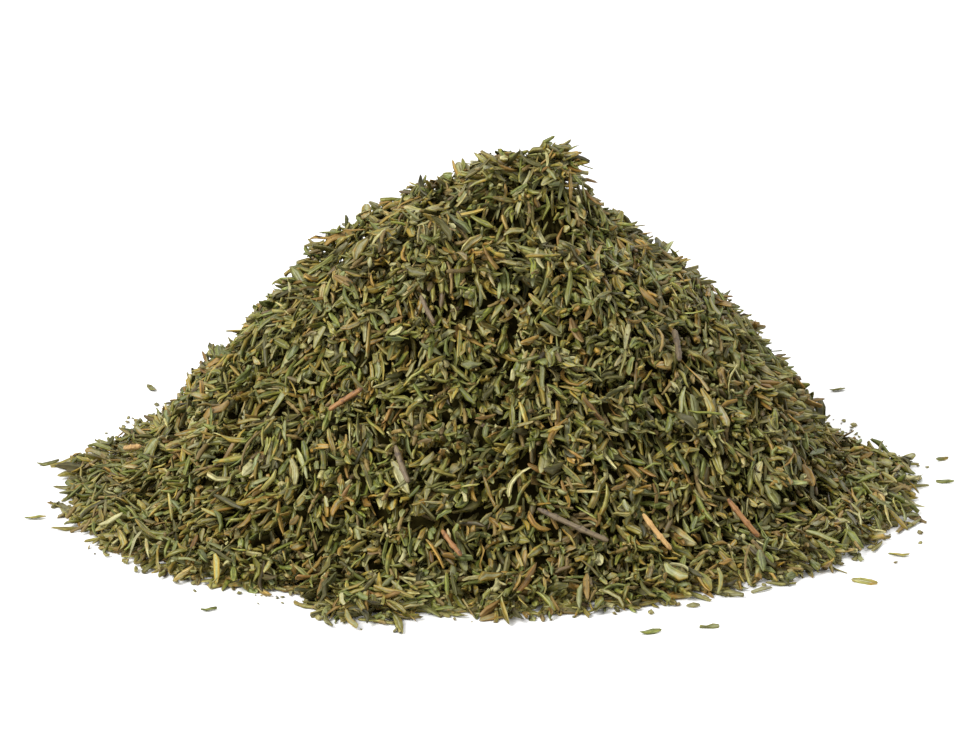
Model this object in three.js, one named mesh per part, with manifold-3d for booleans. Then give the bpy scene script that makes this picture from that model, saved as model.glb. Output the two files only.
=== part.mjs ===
// A heap of dried thyme as it is rubbed off its stems: leaves piled on a flat surface, with bits of
// stem lying on the slopes and stray leaves round the foot. Millimetres, +Z up. The origin is on the
// surface, under the middle of the heap, and -Y is the front. The leaves that cover the heap are drawn
// about three times life size, so that a few hundred of them cover it; the stems and the stray leaves
// are at life size.
import * as THREE from 'three';
import { mergeVertices } from 'three/addons/utils/BufferGeometryUtils.js';
import Module from 'manifold-3d';

const wasm = await Module();
wasm.setup();

// The heap's outer face by level, from the foot to the summit: height, middle of the level along X and
// half width.
const LEVELS = [
  [0, -1, 90.5],
  [3, -0.5, 86],
  [8, -1, 78],
  [16, 0, 69.5],
  [28, 1, 57.4],
  [40, 0.4, 45.4],
  [50, -2, 34.8],
  [58, -1.4, 24],
  [64, 5.5, 15],
  [68.5, 8, 8.5],
  [70.5, 9.5, 3],
];
const DEPTH_SHARE = 0.955; // the heap's depth over its width

// The foot wanders in and out in lobes: how many round the heap, how far each way, and where they start.
const FOOT_LOBES = [
  { count: 3, reach: 1.1, start: 1.0 },
  { count: 5, reach: 0.9, start: 2.4 },
  { count: 9, reach: 0.7, start: 0.3 },
];

// Where leaves have slid away or come to rest: the way round from +X in degrees, the height, the spread
// both ways, and how far the slope stands out there (in, where it is negative).
const SWELLS = [
  { name: 'hollow under the summit', turn: -60, height: 58.5, round: 30, up: 3.6, out: -5 },
  { name: 'ledge below the hollow', turn: -75, height: 52.5, round: 38, up: 3, out: 1.8 },
  { name: 'crease below the ledge', turn: -70, height: 46, round: 30, up: 2.6, out: -2 },
  { name: 'slide on the right', turn: -48, height: 23, round: 15, up: 6, out: 2.2 },
  { name: 'scar above the slide', turn: -38, height: 31.5, round: 22, up: 2.8, out: -2.6 },
  { name: 'crease left of the slide', turn: -68, height: 19.5, round: 11, up: 3, out: -2.2 },
  { name: 'pit in front, right', turn: -82, height: 14, round: 8, up: 3, out: -1.8 },
  { name: 'pit in front, left', turn: -112, height: 13, round: 9, up: 3, out: -1.6 },
  { name: 'tongue in front', turn: -102, height: 0, round: 9, up: 4, out: 2.4 },
  { name: 'ridge on the left', turn: -138, height: 21, round: 16, up: 4, out: 1.4 },
  { name: 'slide behind', turn: 118, height: 30, round: 18, up: 7, out: 2.2 },
  { name: 'scar behind', turn: 104, height: 41, round: 24, up: 3, out: -2.4 },
  { name: 'crease behind', turn: 62, height: 20, round: 14, up: 4, out: -2 },
  { name: 'shoulder behind', turn: 48, height: 46, round: 20, up: 5, out: 1.6 },
];

const CORE_INSET = 2.2; // the packed middle lies this far inside the leaves' outer face
const CORE_ROUND = 30; // its faces round the heap
const CORE_HEIGHTS = [0, 3, 8, 16, 23, 31, 40, 46, 52, 58, 64, 68.5]; // and the levels of its corners

const SLOPE_LEAVES = 415;
const FRINGE_LEAVES = 44; // start low on the slope and point outwards over the foot
const FRINGE_HEIGHT = 3.2; // the height they start at
const FRINGE_SIZE = 0.72; // how long they are, beside the others
const LEAF_LENGTH = [12, 17];
const LEAF_WIDTH_SHARE = [0.3, 0.38]; // of the length
const LEAF_THICKNESS = 1.4;
const LEAF_DROP_SHARE = 0.12; // of the length, the most that a tip bends down
const LEAF_LIFT = [8, 20]; // degrees that a leaf rises off the slope, towards its tip
const LEAF_SUNK_SHARE = 0.12; // how much of a leaf's length lies inside the packed middle
const SUMMIT_SIZE = 0.65; // how long the leaves at the summit are, beside those at the foot
const HEADINGS_TRIED = 16; // at each look round, a leaf tries this many ways to point
const LOOKS_ROUND = 4; // and keeps the one that leaves it most room
const LEAF_SEED = 20;

const GAP = 0.3; // kept between pieces that touch

// Bits of stem on the slopes: the way round and the height of their middle, the way they point in the
// slope (0 is level, towards the right of the slope), length, radius and colour.
const STEMS = [
  { turn: -122, height: 30.3, heading: 48, length: 7.6, radius: 0.5, finish: 'russet' },
  { turn: -106, height: 21.7, heading: 118, length: 8.2, radius: 0.55, finish: 'dun' },
  { turn: -77, height: 12.5, heading: 148, length: 14.5, radius: 0.45, finish: 'dun' },
  { turn: -95, height: 10.5, heading: 128, length: 6.4, radius: 0.5, finish: 'russet' },
  { turn: -64, height: 10, heading: 112, length: 8.4, radius: 0.55, finish: 'straw' },
  { turn: -49, height: 9.5, heading: 106, length: 9.2, radius: 0.55, finish: 'russet' },
  { turn: -107, height: 45.8, heading: 122, length: 6.8, radius: 0.45, finish: 'dun' },
  { turn: -167, height: 11, heading: 30, length: 7.4, radius: 0.5, finish: 'straw' },
  { turn: -41, height: 37, heading: 60, length: 7.2, radius: 0.6, finish: 'dun' },
  { turn: 70, height: 33, heading: 35, length: 9, radius: 0.5, finish: 'dun' },
  { turn: 130, height: 18, heading: 140, length: 8, radius: 0.5, finish: 'russet' },
  { turn: 20, height: 14, heading: 80, length: 7, radius: 0.55, finish: 'straw' },
];
const STEM_DEPTH = 0.9; // a stem's middle lies this far inside the leaves' outer face

// Stray leaves on the surface round the foot: middle, the way the tip points in degrees, length and width.
const STRAYS = [
  { x: -91.5, y: -31, heading: 10, length: 4.6, width: 1.4 },
  { x: -94, y: 3, heading: 205, length: 5.2, width: 1.3 },
  { x: 96.5, y: 5.5, heading: 25, length: 3.4, width: 1.2 },
  { x: 95, y: -9, heading: 170, length: 4, width: 1.1 },
  { x: 79.5, y: -52, heading: 178, length: 4.4, width: 1.2 },
  { x: 71, y: -66.5, heading: 162, length: 5.2, width: 1.5 },
  { x: 40, y: -89, heading: 8, length: 3.8, width: 1.1 },
  { x: 29, y: -91.5, heading: 200, length: 4.6, width: 1.2 },
  { x: -52, y: -80.5, heading: 15, length: 3.2, width: 1.1 },
  { x: -78, y: 56, heading: 120, length: 4.8, width: 1.3 },
  { x: -31, y: 90.5, heading: 60, length: 4.2, width: 1.3 },
  { x: 36, y: 90, heading: 300, length: 5, width: 1.4 },
  { x: 80, y: 55, heading: 20, length: 4.4, width: 1.2 },
];
const STRAY_THICKNESS = 0.8;

const FINISHES = {
  leaf: { color: 0x7c7444, roughness: 0.72 },
  stray: { color: 0x6f6b40, roughness: 0.72 },
  russet: { color: 0x8a5a3c, roughness: 0.65 },
  dun: { color: 0x6d5746, roughness: 0.65 },
  straw: { color: 0xb08a4e, roughness: 0.6 },
};

const TURN = 2 * Math.PI;
const GOLDEN_ANGLE = Math.PI * (3 - Math.sqrt(5));
const radians = THREE.MathUtils.degToRad;

// ---- the heap's outer face ----

const levelCurve = new THREE.CatmullRomCurve3(
  LEVELS.map((level) => new THREE.Vector3(...level)), false, 'catmullrom', 0.5);

// The level at a rise, which goes from 0 at the foot to 1 at the summit.
function levelAt(rise) {
  const { x: height, y: middle, z: halfWidth } = levelCurve.getPoint(rise);
  return { height, middle, halfWidth };
}

// The rise at which the level curve passes a height.
function riseAt(height) {
  let low = 0;
  let high = 1;
  while (high - low > 1e-6) {
    const middle = (low + high) / 2;
    if (levelAt(middle).height < height) low = middle;
    else high = middle;
  }
  return low;
}

// How far the slope stands out at a turn and height, from the swells and, near the foot, from its lobes.
function swellAt(turn, height, rise) {
  const degrees = THREE.MathUtils.radToDeg(turn);
  let out = 0;
  for (const swell of SWELLS) {
    const apart = THREE.MathUtils.euclideanModulo(degrees - swell.turn + 180, 360) - 180;
    const round = apart / swell.round;
    const up = (height - swell.height) / swell.up;
    out += swell.out * Math.exp(-round * round - up * up);
  }
  for (const lobe of FOOT_LOBES) {
    out += lobe.reach * Math.cos(lobe.count * turn + lobe.start) * (1 - rise) ** 3;
  }
  return out;
}

// A point on the heap's outer face. The turn goes round from +X.
function facePoint(turn, rise) {
  const { height, middle, halfWidth } = levelAt(rise);
  const reach = halfWidth + swellAt(turn, height, rise);
  return new THREE.Vector3(
    middle + reach * Math.cos(turn), DEPTH_SHARE * reach * Math.sin(turn), height);
}

// The face's own directions at a point: level along it, up the slope, and straight out of it.
function faceFrame(turn, rise) {
  const STEP = 1e-3;
  const low = Math.max(rise - STEP, 0);
  const high = Math.min(rise + STEP, 1);
  const round = facePoint(turn + STEP, rise).sub(facePoint(turn - STEP, rise)).normalize();
  const up = facePoint(turn, high).sub(facePoint(turn, low)).normalize();
  const out = new THREE.Vector3().crossVectors(round, up).normalize();
  return { at: facePoint(turn, rise), round, up: up.crossVectors(out, round), out };
}

// ---- solids ----

function geometryOf(points, faces) {
  const geometry = new THREE.BufferGeometry();
  geometry.setAttribute('position', new THREE.Float32BufferAttribute(points.flat(), 3));
  geometry.setIndex(faces.flat());
  return geometry;
}

function solidOf(geometry) {
  const bare = geometry.clone();
  bare.deleteAttribute('normal');
  bare.deleteAttribute('uv');
  const merged = mergeVertices(bare, 1e-4);
  return new wasm.Manifold(new wasm.Mesh({
    numProp: 3,
    vertProperties: merged.attributes.position.array,
    triVerts: new Uint32Array(merged.index.array),
  }));
}

// Rings of points joined into a closed skin, with a point at each end. Every ring goes the same way round.
function loftBetween(first, rings, last) {
  const count = rings[0].length;
  const points = [first, ...rings.flat(), last];
  const end = points.length - 1;
  const top = end - count;
  const faces = [];
  for (let i = 0; i < count; i++) {
    const next = (i + 1) % count;
    faces.push([0, 1 + next, 1 + i]);
    for (let low = 1; low < top; low += count) {
      const high = low + count;
      faces.push([low + i, low + next, high + next], [low + i, high + next, high + i]);
    }
    faces.push([top + i, top + next, end]);
  }
  return geometryOf(points, faces);
}

// The packed middle of the heap: its outer face moved in, closed by a flat foot on the surface.
function coreGeometry() {
  const rings = CORE_HEIGHTS.map((height) => {
    const rise = riseAt(height);
    return Array.from({ length: CORE_ROUND }, (_, i) => {
      const { at, out } = faceFrame((TURN * i) / CORE_ROUND, rise);
      at.addScaledVector(out, -CORE_INSET);
      return [at.x, at.y, height === 0 ? 0 : at.z];
    });
  });
  const summit = levelAt(1);
  return loftBetween([0, 0, 0], rings, [summit.middle, 0, summit.height - CORE_INSET]);
}

// A leaf along +X from its heel at the origin: pointed at both ends, flat below and ridged above, with
// its tip bent down by drop.
function leafGeometry({ length, width, thickness, drop }) {
  const ring = (along, widthShare, ridgeShare) => {
    const half = (width * widthShare) / 2;
    const bent = -drop * along * along;
    return [
      [along * length, -half, bent],
      [along * length, half, bent],
      [along * length, 0, bent + thickness * ridgeShare],
    ];
  };
  return loftBetween([0, 0, 0], [ring(0.3, 1, 1), ring(0.72, 0.9, 0.85)], [length, 0, -drop]);
}

// A bit of stem along X about its middle: six-sided, bowed and tapered a little, with slightly domed ends.
function stemGeometry(length, radius) {
  const SIDES = 6;
  const STEPS = 3;
  const BOW_SHARE = 0.03; // of the length
  const TAPER = 0.18;
  const DOME_SHARE = 0.15; // of the radius
  const rings = [];
  for (let step = 0; step <= STEPS; step++) {
    const along = step / STEPS;
    const girth = radius * (1 - TAPER * along);
    const middle = length * BOW_SHARE * (1 - (2 * along - 1) ** 2);
    const ring = [];
    for (let side = 0; side < SIDES; side++) {
      const angle = (TURN * side) / SIDES;
      ring.push([(along - 0.5) * length, middle + girth * Math.cos(angle), girth * Math.sin(angle)]);
    }
    rings.push(ring);
  }
  const end = length / 2 + radius * DOME_SHARE;
  return loftBetween([-end, 0, 0], rings, [end, 0, 0]);
}

// ---- where things lie ----

// A repeatable stream of numbers from 0 to 1.
function drawFrom(seed) {
  let state = seed;
  return () => {
    state = (state + 0x6d2b79f5) | 0;
    let mixed = Math.imul(state ^ (state >>> 15), 1 | state);
    mixed = (mixed + Math.imul(mixed ^ (mixed >>> 7), 61 | mixed)) ^ mixed;
    return ((mixed ^ (mixed >>> 14)) >>> 0) / 2 ** 32;
  };
}

// How long the leaves are at a rise, beside those at the foot.
function sizeAt(rise) {
  return THREE.MathUtils.lerp(1, SUMMIT_SIZE, rise ** 2);
}

// The rises at which leaves lie, evenly over the heap's face, and closer where they are smaller.
function leafRises(count) {
  const STEPS = 400;
  const shares = [0];
  for (let i = 0; i < STEPS; i++) {
    const low = levelAt(i / STEPS);
    const high = levelAt((i + 1) / STEPS);
    const slant = Math.hypot(high.height - low.height, high.halfWidth - low.halfWidth);
    const area = slant * (low.halfWidth + high.halfWidth);
    shares.push(shares[i] + area / sizeAt(i / STEPS) ** 2);
  }
  const rises = [];
  for (let i = 0, step = 0; i < count; i++) {
    const wanted = (shares[STEPS] * (i + 0.5)) / count;
    while (shares[step + 1] < wanted) step++;
    rises.push((step + (wanted - shares[step]) / (shares[step + 1] - shares[step])) / STEPS);
  }
  return rises;
}

// The matrix that lays a shape made along +X, with +Z up, on the slope: pointed at a heading from
// level, tipped up by lift, both in degrees, and sunk to a depth.
function layOn({ at, round, up, out }, heading, lift, depth) {
  const along = round.clone().multiplyScalar(Math.cos(radians(heading)));
  along.addScaledVector(up, Math.sin(radians(heading)));
  const side = new THREE.Vector3().crossVectors(out, along).normalize();
  const axis = along.multiplyScalar(Math.cos(radians(lift))).addScaledVector(out, Math.sin(radians(lift)));
  const top = new THREE.Vector3().crossVectors(axis, side);
  const matrix = new THREE.Matrix4().makeBasis(axis, side, top);
  return matrix.setPosition(at.clone().addScaledVector(out, -depth));
}

function stemMatrix({ turn, height, heading }) {
  return layOn(faceFrame(radians(turn), riseAt(height)), heading, 0, STEM_DEPTH);
}

// Points along the middle of a shape made along +X, once it is laid, at these shares of its length.
function spineOf(matrix, length, shares) {
  return shares.map((share) => new THREE.Vector3(share * length, 0, 0).applyMatrix4(matrix));
}

const stemLines = STEMS.map((stem) => {
  return new THREE.Line3(...spineOf(stemMatrix(stem), stem.length, [-0.5, 0.5]));
});

// Whether a leaf would lie on a stem.
function meetsStem(spine, width) {
  const clear = width / 2 + GAP + 0.6;
  const nearest = new THREE.Vector3();
  return stemLines.some((line) => spine.some((point) => {
    return line.closestPointToPoint(point, true, nearest).distanceTo(point) < clear;
  }));
}

// The square of how near a leaf comes to its neighbours.
function roomBeside(spine, neighbours) {
  let room = Infinity;
  for (const neighbour of neighbours) {
    for (const point of spine) {
      for (const other of neighbour.spine) room = Math.min(room, point.distanceToSquared(other));
    }
  }
  return room;
}

// A leaf whose place is known and whose heading isn't.
function leafAt(frame, size, headings, draw) {
  const length = size * THREE.MathUtils.lerp(...LEAF_LENGTH, draw());
  return {
    frame,
    headings,
    length,
    width: length * THREE.MathUtils.lerp(...LEAF_WIDTH_SHARE, draw()),
    drop: length * LEAF_DROP_SHARE * draw(),
    lift: THREE.MathUtils.lerp(...LEAF_LIFT, draw()),
  };
}

// Leaves over the whole slope, spread by the golden angle, pointing every way.
function slopeLeaves(draw) {
  return leafRises(SLOPE_LEAVES).map((rise, i) => {
    return leafAt(faceFrame(i * GOLDEN_ANGLE, rise), sizeAt(rise), [0, 360], draw);
  });
}

// Leaves round the foot, pointing outwards to either side.
function fringeLeaves(draw) {
  const rise = riseAt(FRINGE_HEIGHT);
  return Array.from({ length: FRINGE_LEAVES }, (_, i) => {
    return leafAt(faceFrame((TURN * i) / FRINGE_LEAVES, rise), FRINGE_SIZE, [-130, -50], draw);
  });
}

// The leaf laid at a heading, with the spine that says what room it has.
function laid(leaf, heading) {
  const matrix = layOn(leaf.frame, heading, leaf.lift, CORE_INSET);
  matrix.multiply(new THREE.Matrix4().makeTranslation(-leaf.length * LEAF_SUNK_SHARE, 0, 0));
  return { matrix, spine: spineOf(matrix, leaf.length, [0.1, 0.3, 0.5, 0.7, 0.9]) };
}

// Each leaf is turned, again and again, the way that leaves it most room among the others. One that
// finds no way clear of the stems is left out.
function turnedApart(leaves, draw) {
  const REACH = 2 * LEAF_LENGTH[1];
  for (let look = 0; look < LOOKS_ROUND; look++) {
    for (const leaf of leaves) {
      const near = leaves.filter((other) => {
        return other !== leaf && other.spine && other.spine[0].distanceTo(leaf.frame.at) < REACH;
      });
      let mostRoom = leaf.spine ? roomBeside(leaf.spine, near) : -1;
      for (let trial = 0; trial < HEADINGS_TRIED; trial++) {
        const tried = laid(leaf, THREE.MathUtils.lerp(...leaf.headings, draw()));
        if (meetsStem(tried.spine, leaf.width)) continue;
        const room = roomBeside(tried.spine, near);
        if (room > mostRoom) {
          mostRoom = room;
          Object.assign(leaf, tried);
        }
      }
    }
  }
  return leaves.filter((leaf) => leaf.spine);
}

// ---- the heap ----

// All of these joined, two at a time.
function joined(solids) {
  let left = solids;
  while (left.length > 1) {
    const pairs = [];
    for (let i = 0; i < left.length; i += 2) {
      pairs.push(i + 1 < left.length ? left[i].add(left[i + 1]) : left[i]);
    }
    left = pairs;
  }
  return left[0];
}

// The skin that encloses most: scraps are left out, and hollows sealed inside are filled.
function outerSkin(solid) {
  const { vertProperties, triVerts } = solid.getMesh();
  const parent = Array.from({ length: vertProperties.length / 3 }, (_, i) => i);
  const rootOf = (i) => {
    let root = i;
    while (parent[root] !== root) root = parent[root];
    parent[i] = root;
    return root;
  };
  for (let i = 0; i < triVerts.length; i += 3) {
    parent[rootOf(triVerts[i + 1])] = rootOf(triVerts[i]);
    parent[rootOf(triVerts[i + 2])] = rootOf(triVerts[i]);
  }
  const corner = (i) => new THREE.Vector3().fromArray(vertProperties, 3 * triVerts[i]);
  const volumes = new Map();
  const faces = new Map();
  for (let i = 0; i < triVerts.length; i += 3) {
    const root = rootOf(triVerts[i]);
    const volume = corner(i).dot(corner(i + 1).cross(corner(i + 2))) / 6;
    volumes.set(root, (volumes.get(root) ?? 0) + volume);
    if (!faces.has(root)) faces.set(root, []);
    faces.get(root).push(triVerts[i], triVerts[i + 1], triVerts[i + 2]);
  }
  const [largest] = [...volumes].reduce((best, entry) => (entry[1] > best[1] ? entry : best));
  const skin = new THREE.BufferGeometry();
  skin.setAttribute('position', new THREE.BufferAttribute(vertProperties, 3));
  skin.setIndex(faces.get(largest));
  return skin;
}

// The packed middle and the leaves in one, with a bed for each stem, cut off level at the surface.
function heapGeometry() {
  const SIDE = 400;
  const draw = drawFrom(LEAF_SEED);
  const leaves = turnedApart([...slopeLeaves(draw), ...fringeLeaves(draw)], draw);
  const leafSolids = leaves.map((leaf) => {
    return solidOf(leafGeometry({ ...leaf, thickness: LEAF_THICKNESS }).applyMatrix4(leaf.matrix));
  });
  let heap = solidOf(coreGeometry()).add(joined(leafSolids));
  for (const stem of STEMS) {
    const bed = stemGeometry(stem.length + 2 * GAP, stem.radius + GAP);
    heap = heap.subtract(solidOf(bed.applyMatrix4(stemMatrix(stem))));
  }
  const above = new THREE.BoxGeometry(SIDE, SIDE, SIDE).translate(0, 0, SIDE / 2);
  return outerSkin(heap.intersect(solidOf(above)));
}

// ---- the object ----

function meshOf(name, geometry, finish) {
  const material = new THREE.MeshStandardMaterial({ ...FINISHES[finish], metalness: 0 });
  const mesh = new THREE.Mesh(geometry, material);
  mesh.name = name;
  return mesh;
}

const thyme = new THREE.Group();
thyme.add(meshOf('leaf_heap', heapGeometry(), 'leaf'));

STEMS.forEach((stem, i) => {
  const mesh = meshOf(`stem_${i + 1}`, stemGeometry(stem.length, stem.radius), stem.finish);
  mesh.applyMatrix4(stemMatrix(stem));
  thyme.add(mesh);
});

STRAYS.forEach(({ x, y, heading, length, width }, i) => {
  const leaf = leafGeometry({ length, width, thickness: STRAY_THICKNESS, drop: 0 });
  const mesh = meshOf(`stray_leaf_${i + 1}`, leaf.translate(-length / 2, 0, 0), 'stray');
  mesh.position.set(x, y, 0);
  mesh.rotation.z = radians(heading);
  thyme.add(mesh);
});

export default thyme;
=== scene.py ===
"""A heap of dried thyme, rubbed off its stems: thousands of rolled leaves lying on each other on a pale
floor.

Leaves, bits of stem, husks and shoot tips are laid one round after another on the heap's packed middle.
Each comes to rest on what lies there already, until the heap's outer face is reached. Lengths are in
millimetres until a mesh is made, which is in metres.
"""
import math

import bpy
import numpy as np
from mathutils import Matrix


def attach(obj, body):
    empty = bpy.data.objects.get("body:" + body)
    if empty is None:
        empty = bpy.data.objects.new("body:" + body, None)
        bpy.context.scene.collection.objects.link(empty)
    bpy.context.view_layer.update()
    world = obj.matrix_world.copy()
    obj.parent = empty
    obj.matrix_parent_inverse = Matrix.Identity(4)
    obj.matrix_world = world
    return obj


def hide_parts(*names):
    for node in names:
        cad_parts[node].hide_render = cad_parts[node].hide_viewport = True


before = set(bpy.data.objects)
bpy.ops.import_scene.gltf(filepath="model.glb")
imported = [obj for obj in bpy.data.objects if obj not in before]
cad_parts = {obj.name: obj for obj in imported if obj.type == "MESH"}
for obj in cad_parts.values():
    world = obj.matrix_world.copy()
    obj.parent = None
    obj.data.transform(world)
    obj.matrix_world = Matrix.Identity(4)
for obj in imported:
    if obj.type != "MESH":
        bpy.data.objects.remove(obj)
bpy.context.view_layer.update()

MM = 0.001
TURN = 2 * math.pi
rng = np.random.default_rng(4)


# ---- The heap's outer face ----

# By level, from the foot to the summit: height, middle of the level along X, half width.
LEVELS = np.array([
    [0, -1, 90.5],
    [3, -0.5, 86],
    [8, -1, 78],
    [16, 0, 69.5],
    [28, 1, 57.4],
    [40, 0.4, 45.4],
    [50, -2, 34.8],
    [58, -1.4, 24],
    [64, 5.5, 15],
    [68.5, 8, 8.5],
    [70.5, 9.5, 3],
])
DEPTH_SHARE = 0.955  # the heap's depth over its width
FOOT_LOBES = [(3, 1.1, 1.0), (5, 0.9, 2.4), (9, 0.7, 0.3)]  # how many, reach, start

# Where leaves have slid away or come to rest: turn from +X in degrees, height, spread both ways, and how
# far the slope stands out there.
SWELLS = [
    (-60, 58.5, 30, 3.6, -5),  # hollow under the summit
    (-75, 52.5, 38, 3, 1.8),  # ledge below the hollow
    (-70, 46, 30, 2.6, -2),  # crease below the ledge
    (-48, 23, 15, 6, 2.2),  # slide on the right
    (-38, 31.5, 22, 2.8, -2.6),  # scar above the slide
    (-68, 19.5, 11, 3, -2.2),  # crease left of the slide
    (-82, 14, 8, 3, -1.8),  # pit in front, right
    (-112, 13, 9, 3, -1.6),  # pit in front, left
    (-102, 0, 9, 4, 2.4),  # tongue in front
    (-138, 21, 16, 4, 1.4),  # ridge on the left
    (118, 30, 18, 7, 2.2),  # slide behind
    (104, 41, 24, 3, -2.4),  # scar behind
    (62, 20, 14, 4, -2),  # crease behind
    (48, 46, 20, 5, 1.6),  # shoulder behind
]


def level_at(rise):
    """Height, middle and half width at a rise from 0 at the foot to 1 at the summit: a Catmull-Rom curve
    through LEVELS, a cubic on each stretch whose slope at a level is half the step between that level's
    neighbours."""
    slopes = np.gradient(LEVELS, axis=0)
    place = np.clip(rise, 0, 1) * (len(LEVELS) - 1)
    k = np.minimum(place.astype(int), len(LEVELS) - 2)
    t = (place - k)[..., None]
    start = (2 * t**3 - 3 * t**2 + 1) * LEVELS[k] + (t**3 - 2 * t**2 + t) * slopes[k]
    end = (3 * t**2 - 2 * t**3) * LEVELS[k + 1] + (t**3 - t**2) * slopes[k + 1]
    return start + end


def wrapped(degrees):
    """The same angle between -180 and 180 degrees."""
    return (degrees + 180) % 360 - 180


def face_points(turn, rise):
    """Points on the outer face: round each level's middle at its half width, plus a bell curve for every
    swell and a cosine for every lobe of the foot."""
    height, middle, reach = np.moveaxis(level_at(rise), -1, 0)
    for at_turn, at_height, spread_turn, spread_height, out in SWELLS:
        apart = wrapped(np.degrees(turn) - at_turn)
        bell = np.exp(-(apart / spread_turn) ** 2 - ((height - at_height) / spread_height) ** 2)
        reach = reach + out * bell
    for count, lobe_reach, start in FOOT_LOBES:
        reach = reach + lobe_reach * np.cos(count * turn + start) * (1 - rise) ** 3
    return np.stack([middle + reach * np.cos(turn), DEPTH_SHARE * reach * np.sin(turn), height], axis=-1)


def face_grid(turns, rises, inset=0.0):
    """The face on a grid of turns by rises, moved inwards by inset along its normal, which is the cross
    product of the grid's two directions."""
    all_turns = np.linspace(0, TURN, turns, endpoint=False)
    rise, turn = np.meshgrid(np.linspace(0, 1, rises), all_turns, indexing="ij")
    points = face_points(turn, rise)
    level = np.roll(points, -1, axis=1) - np.roll(points, 1, axis=1)
    normal = np.cross(level, np.gradient(points, axis=0))
    normal /= np.linalg.norm(normal, axis=-1, keepdims=True)
    return points - inset * normal


# ---- Height maps, by which the pieces are laid ----

CELL = 0.25  # side of a map's cell
HALF_X, HALF_Y = 108.0, 104.0  # the maps' half sides
ROWS, COLUMNS = int(2 * HALF_Y / CELL), int(2 * HALF_X / CELL)
MAP_Y, MAP_X = np.mgrid[-HALF_Y:HALF_Y:CELL, -HALF_X:HALF_X:CELL]  # where the cells are
FACE_TURNS, FACE_RISES = 2800, 760  # points on the face, closer together than cells


def cells(x, y):
    """Row and column of the cell that holds a point."""
    row = np.clip(((y + HALF_Y) / CELL).astype(int), 0, ROWS - 1)
    column = np.clip(((x + HALF_X) / CELL).astype(int), 0, COLUMNS - 1)
    return row, column


def empty_map(value=0.0):
    """A map that holds one value all over."""
    return np.full((ROWS, COLUMNS), value)


def bell_at(x, y, spread):
    """A bell curve about a place, over the whole map: exp of minus the square of the distance over the
    spread."""
    return np.exp(-((MAP_X - x) ** 2 + (MAP_Y - y) ** 2) / spread**2)


def smooth(values, reach):
    """A mean over a square of cells, made by running sums along rows and then columns."""
    width = 2 * reach + 1
    for axis in (0, 1):
        pad = [(reach + 1, reach) if side == axis else (0, 0) for side in (0, 1)]
        sums = np.cumsum(np.pad(values, pad, mode="edge"), axis=axis)
        count = values.shape[axis]
        upper = np.take(sums, np.arange(width, width + count), axis=axis)
        lower = np.take(sums, np.arange(count), axis=axis)
        values = (upper - lower) / width
    return values


def height_map(inset):
    """The face's height over the floor, as the highest of its grid's points in each cell. A cell that
    none falls in takes its neighbours' mean."""
    points = face_grid(FACE_TURNS, FACE_RISES, inset)
    heights = empty_map()
    np.maximum.at(heights, cells(points[..., 0], points[..., 1]), points[..., 2])
    around = smooth(heights, 1)
    return np.where((heights <= 0) & (around > 0.4), around * 1.2, np.maximum(heights, 0))


def lumps(size, seed):
    """Smooth random lumps about 1 high: white noise meaned over squares, twice."""
    noise = np.random.default_rng(seed).standard_normal(empty_map().shape)
    reach = int(size / CELL / 2)
    noise = smooth(smooth(noise, reach), reach)
    return noise / noise.std()


# Pits in front where leaves have not settled: X, Y, spread, depth.
PITS = [
    (7, -20, 3.2, 6.5), (13, -14, 2.8, 6), (21, -10, 2.2, 3.5), (46, -57, 2.3, 4.5), (-2, -63, 2.3, 4.5),
    (33, -41, 2.3, 5), (3, -38, 2.3, 5), (35, -66, 2.2, 4), (-32, -67, 2.2, 4), (24, -30, 2.2, 4.5),
    (11, -65, 2.2, 4), (-29, -33, 2.2, 3), (-49, -53, 2.2, 4), (-63, -45, 2.2, 4), (-17, -41, 2.2, 2.5),
    (17, -76, 2, 3), (-37, -38, 2.2, 4), (21, -43, 2.2, 4), (7, -56, 2.2, 4),
]


def pits():
    """How deep the face lies in its pits: a bell for each, and smaller ones all over where random lumps
    rise past a threshold."""
    depth = 1.8 * np.clip(lumps(3.2, 5) - 1.0, 0, 1.1)
    for x, y, spread, deep in PITS:
        depth = depth + deep * bell_at(x, y, spread)
    return depth


# ---- What is laid ----

LEAF, BROKEN, BROAD, HOOK, STEM, HUSK, TIP = range(7)
MIX = {LEAF: 0.66, BROKEN: 0.13, BROAD: 0.05, HOOK: 0.06, STEM: 0.035, HUSK: 0.02, TIP: 0.045}
LONGEST, SHORT_FILL = 10.0, 4.5  # the longest leaf, and the longest that fills the last gaps


def half_blade_of(width, roll):
    """Half the width of the flat blade that is this wide once it is rolled: width roll / (2 sin(roll)),
    with the sine at its greatest from a quarter turn on."""
    return width * roll / (2 * np.sin(np.minimum(roll, math.pi / 2)))


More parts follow.
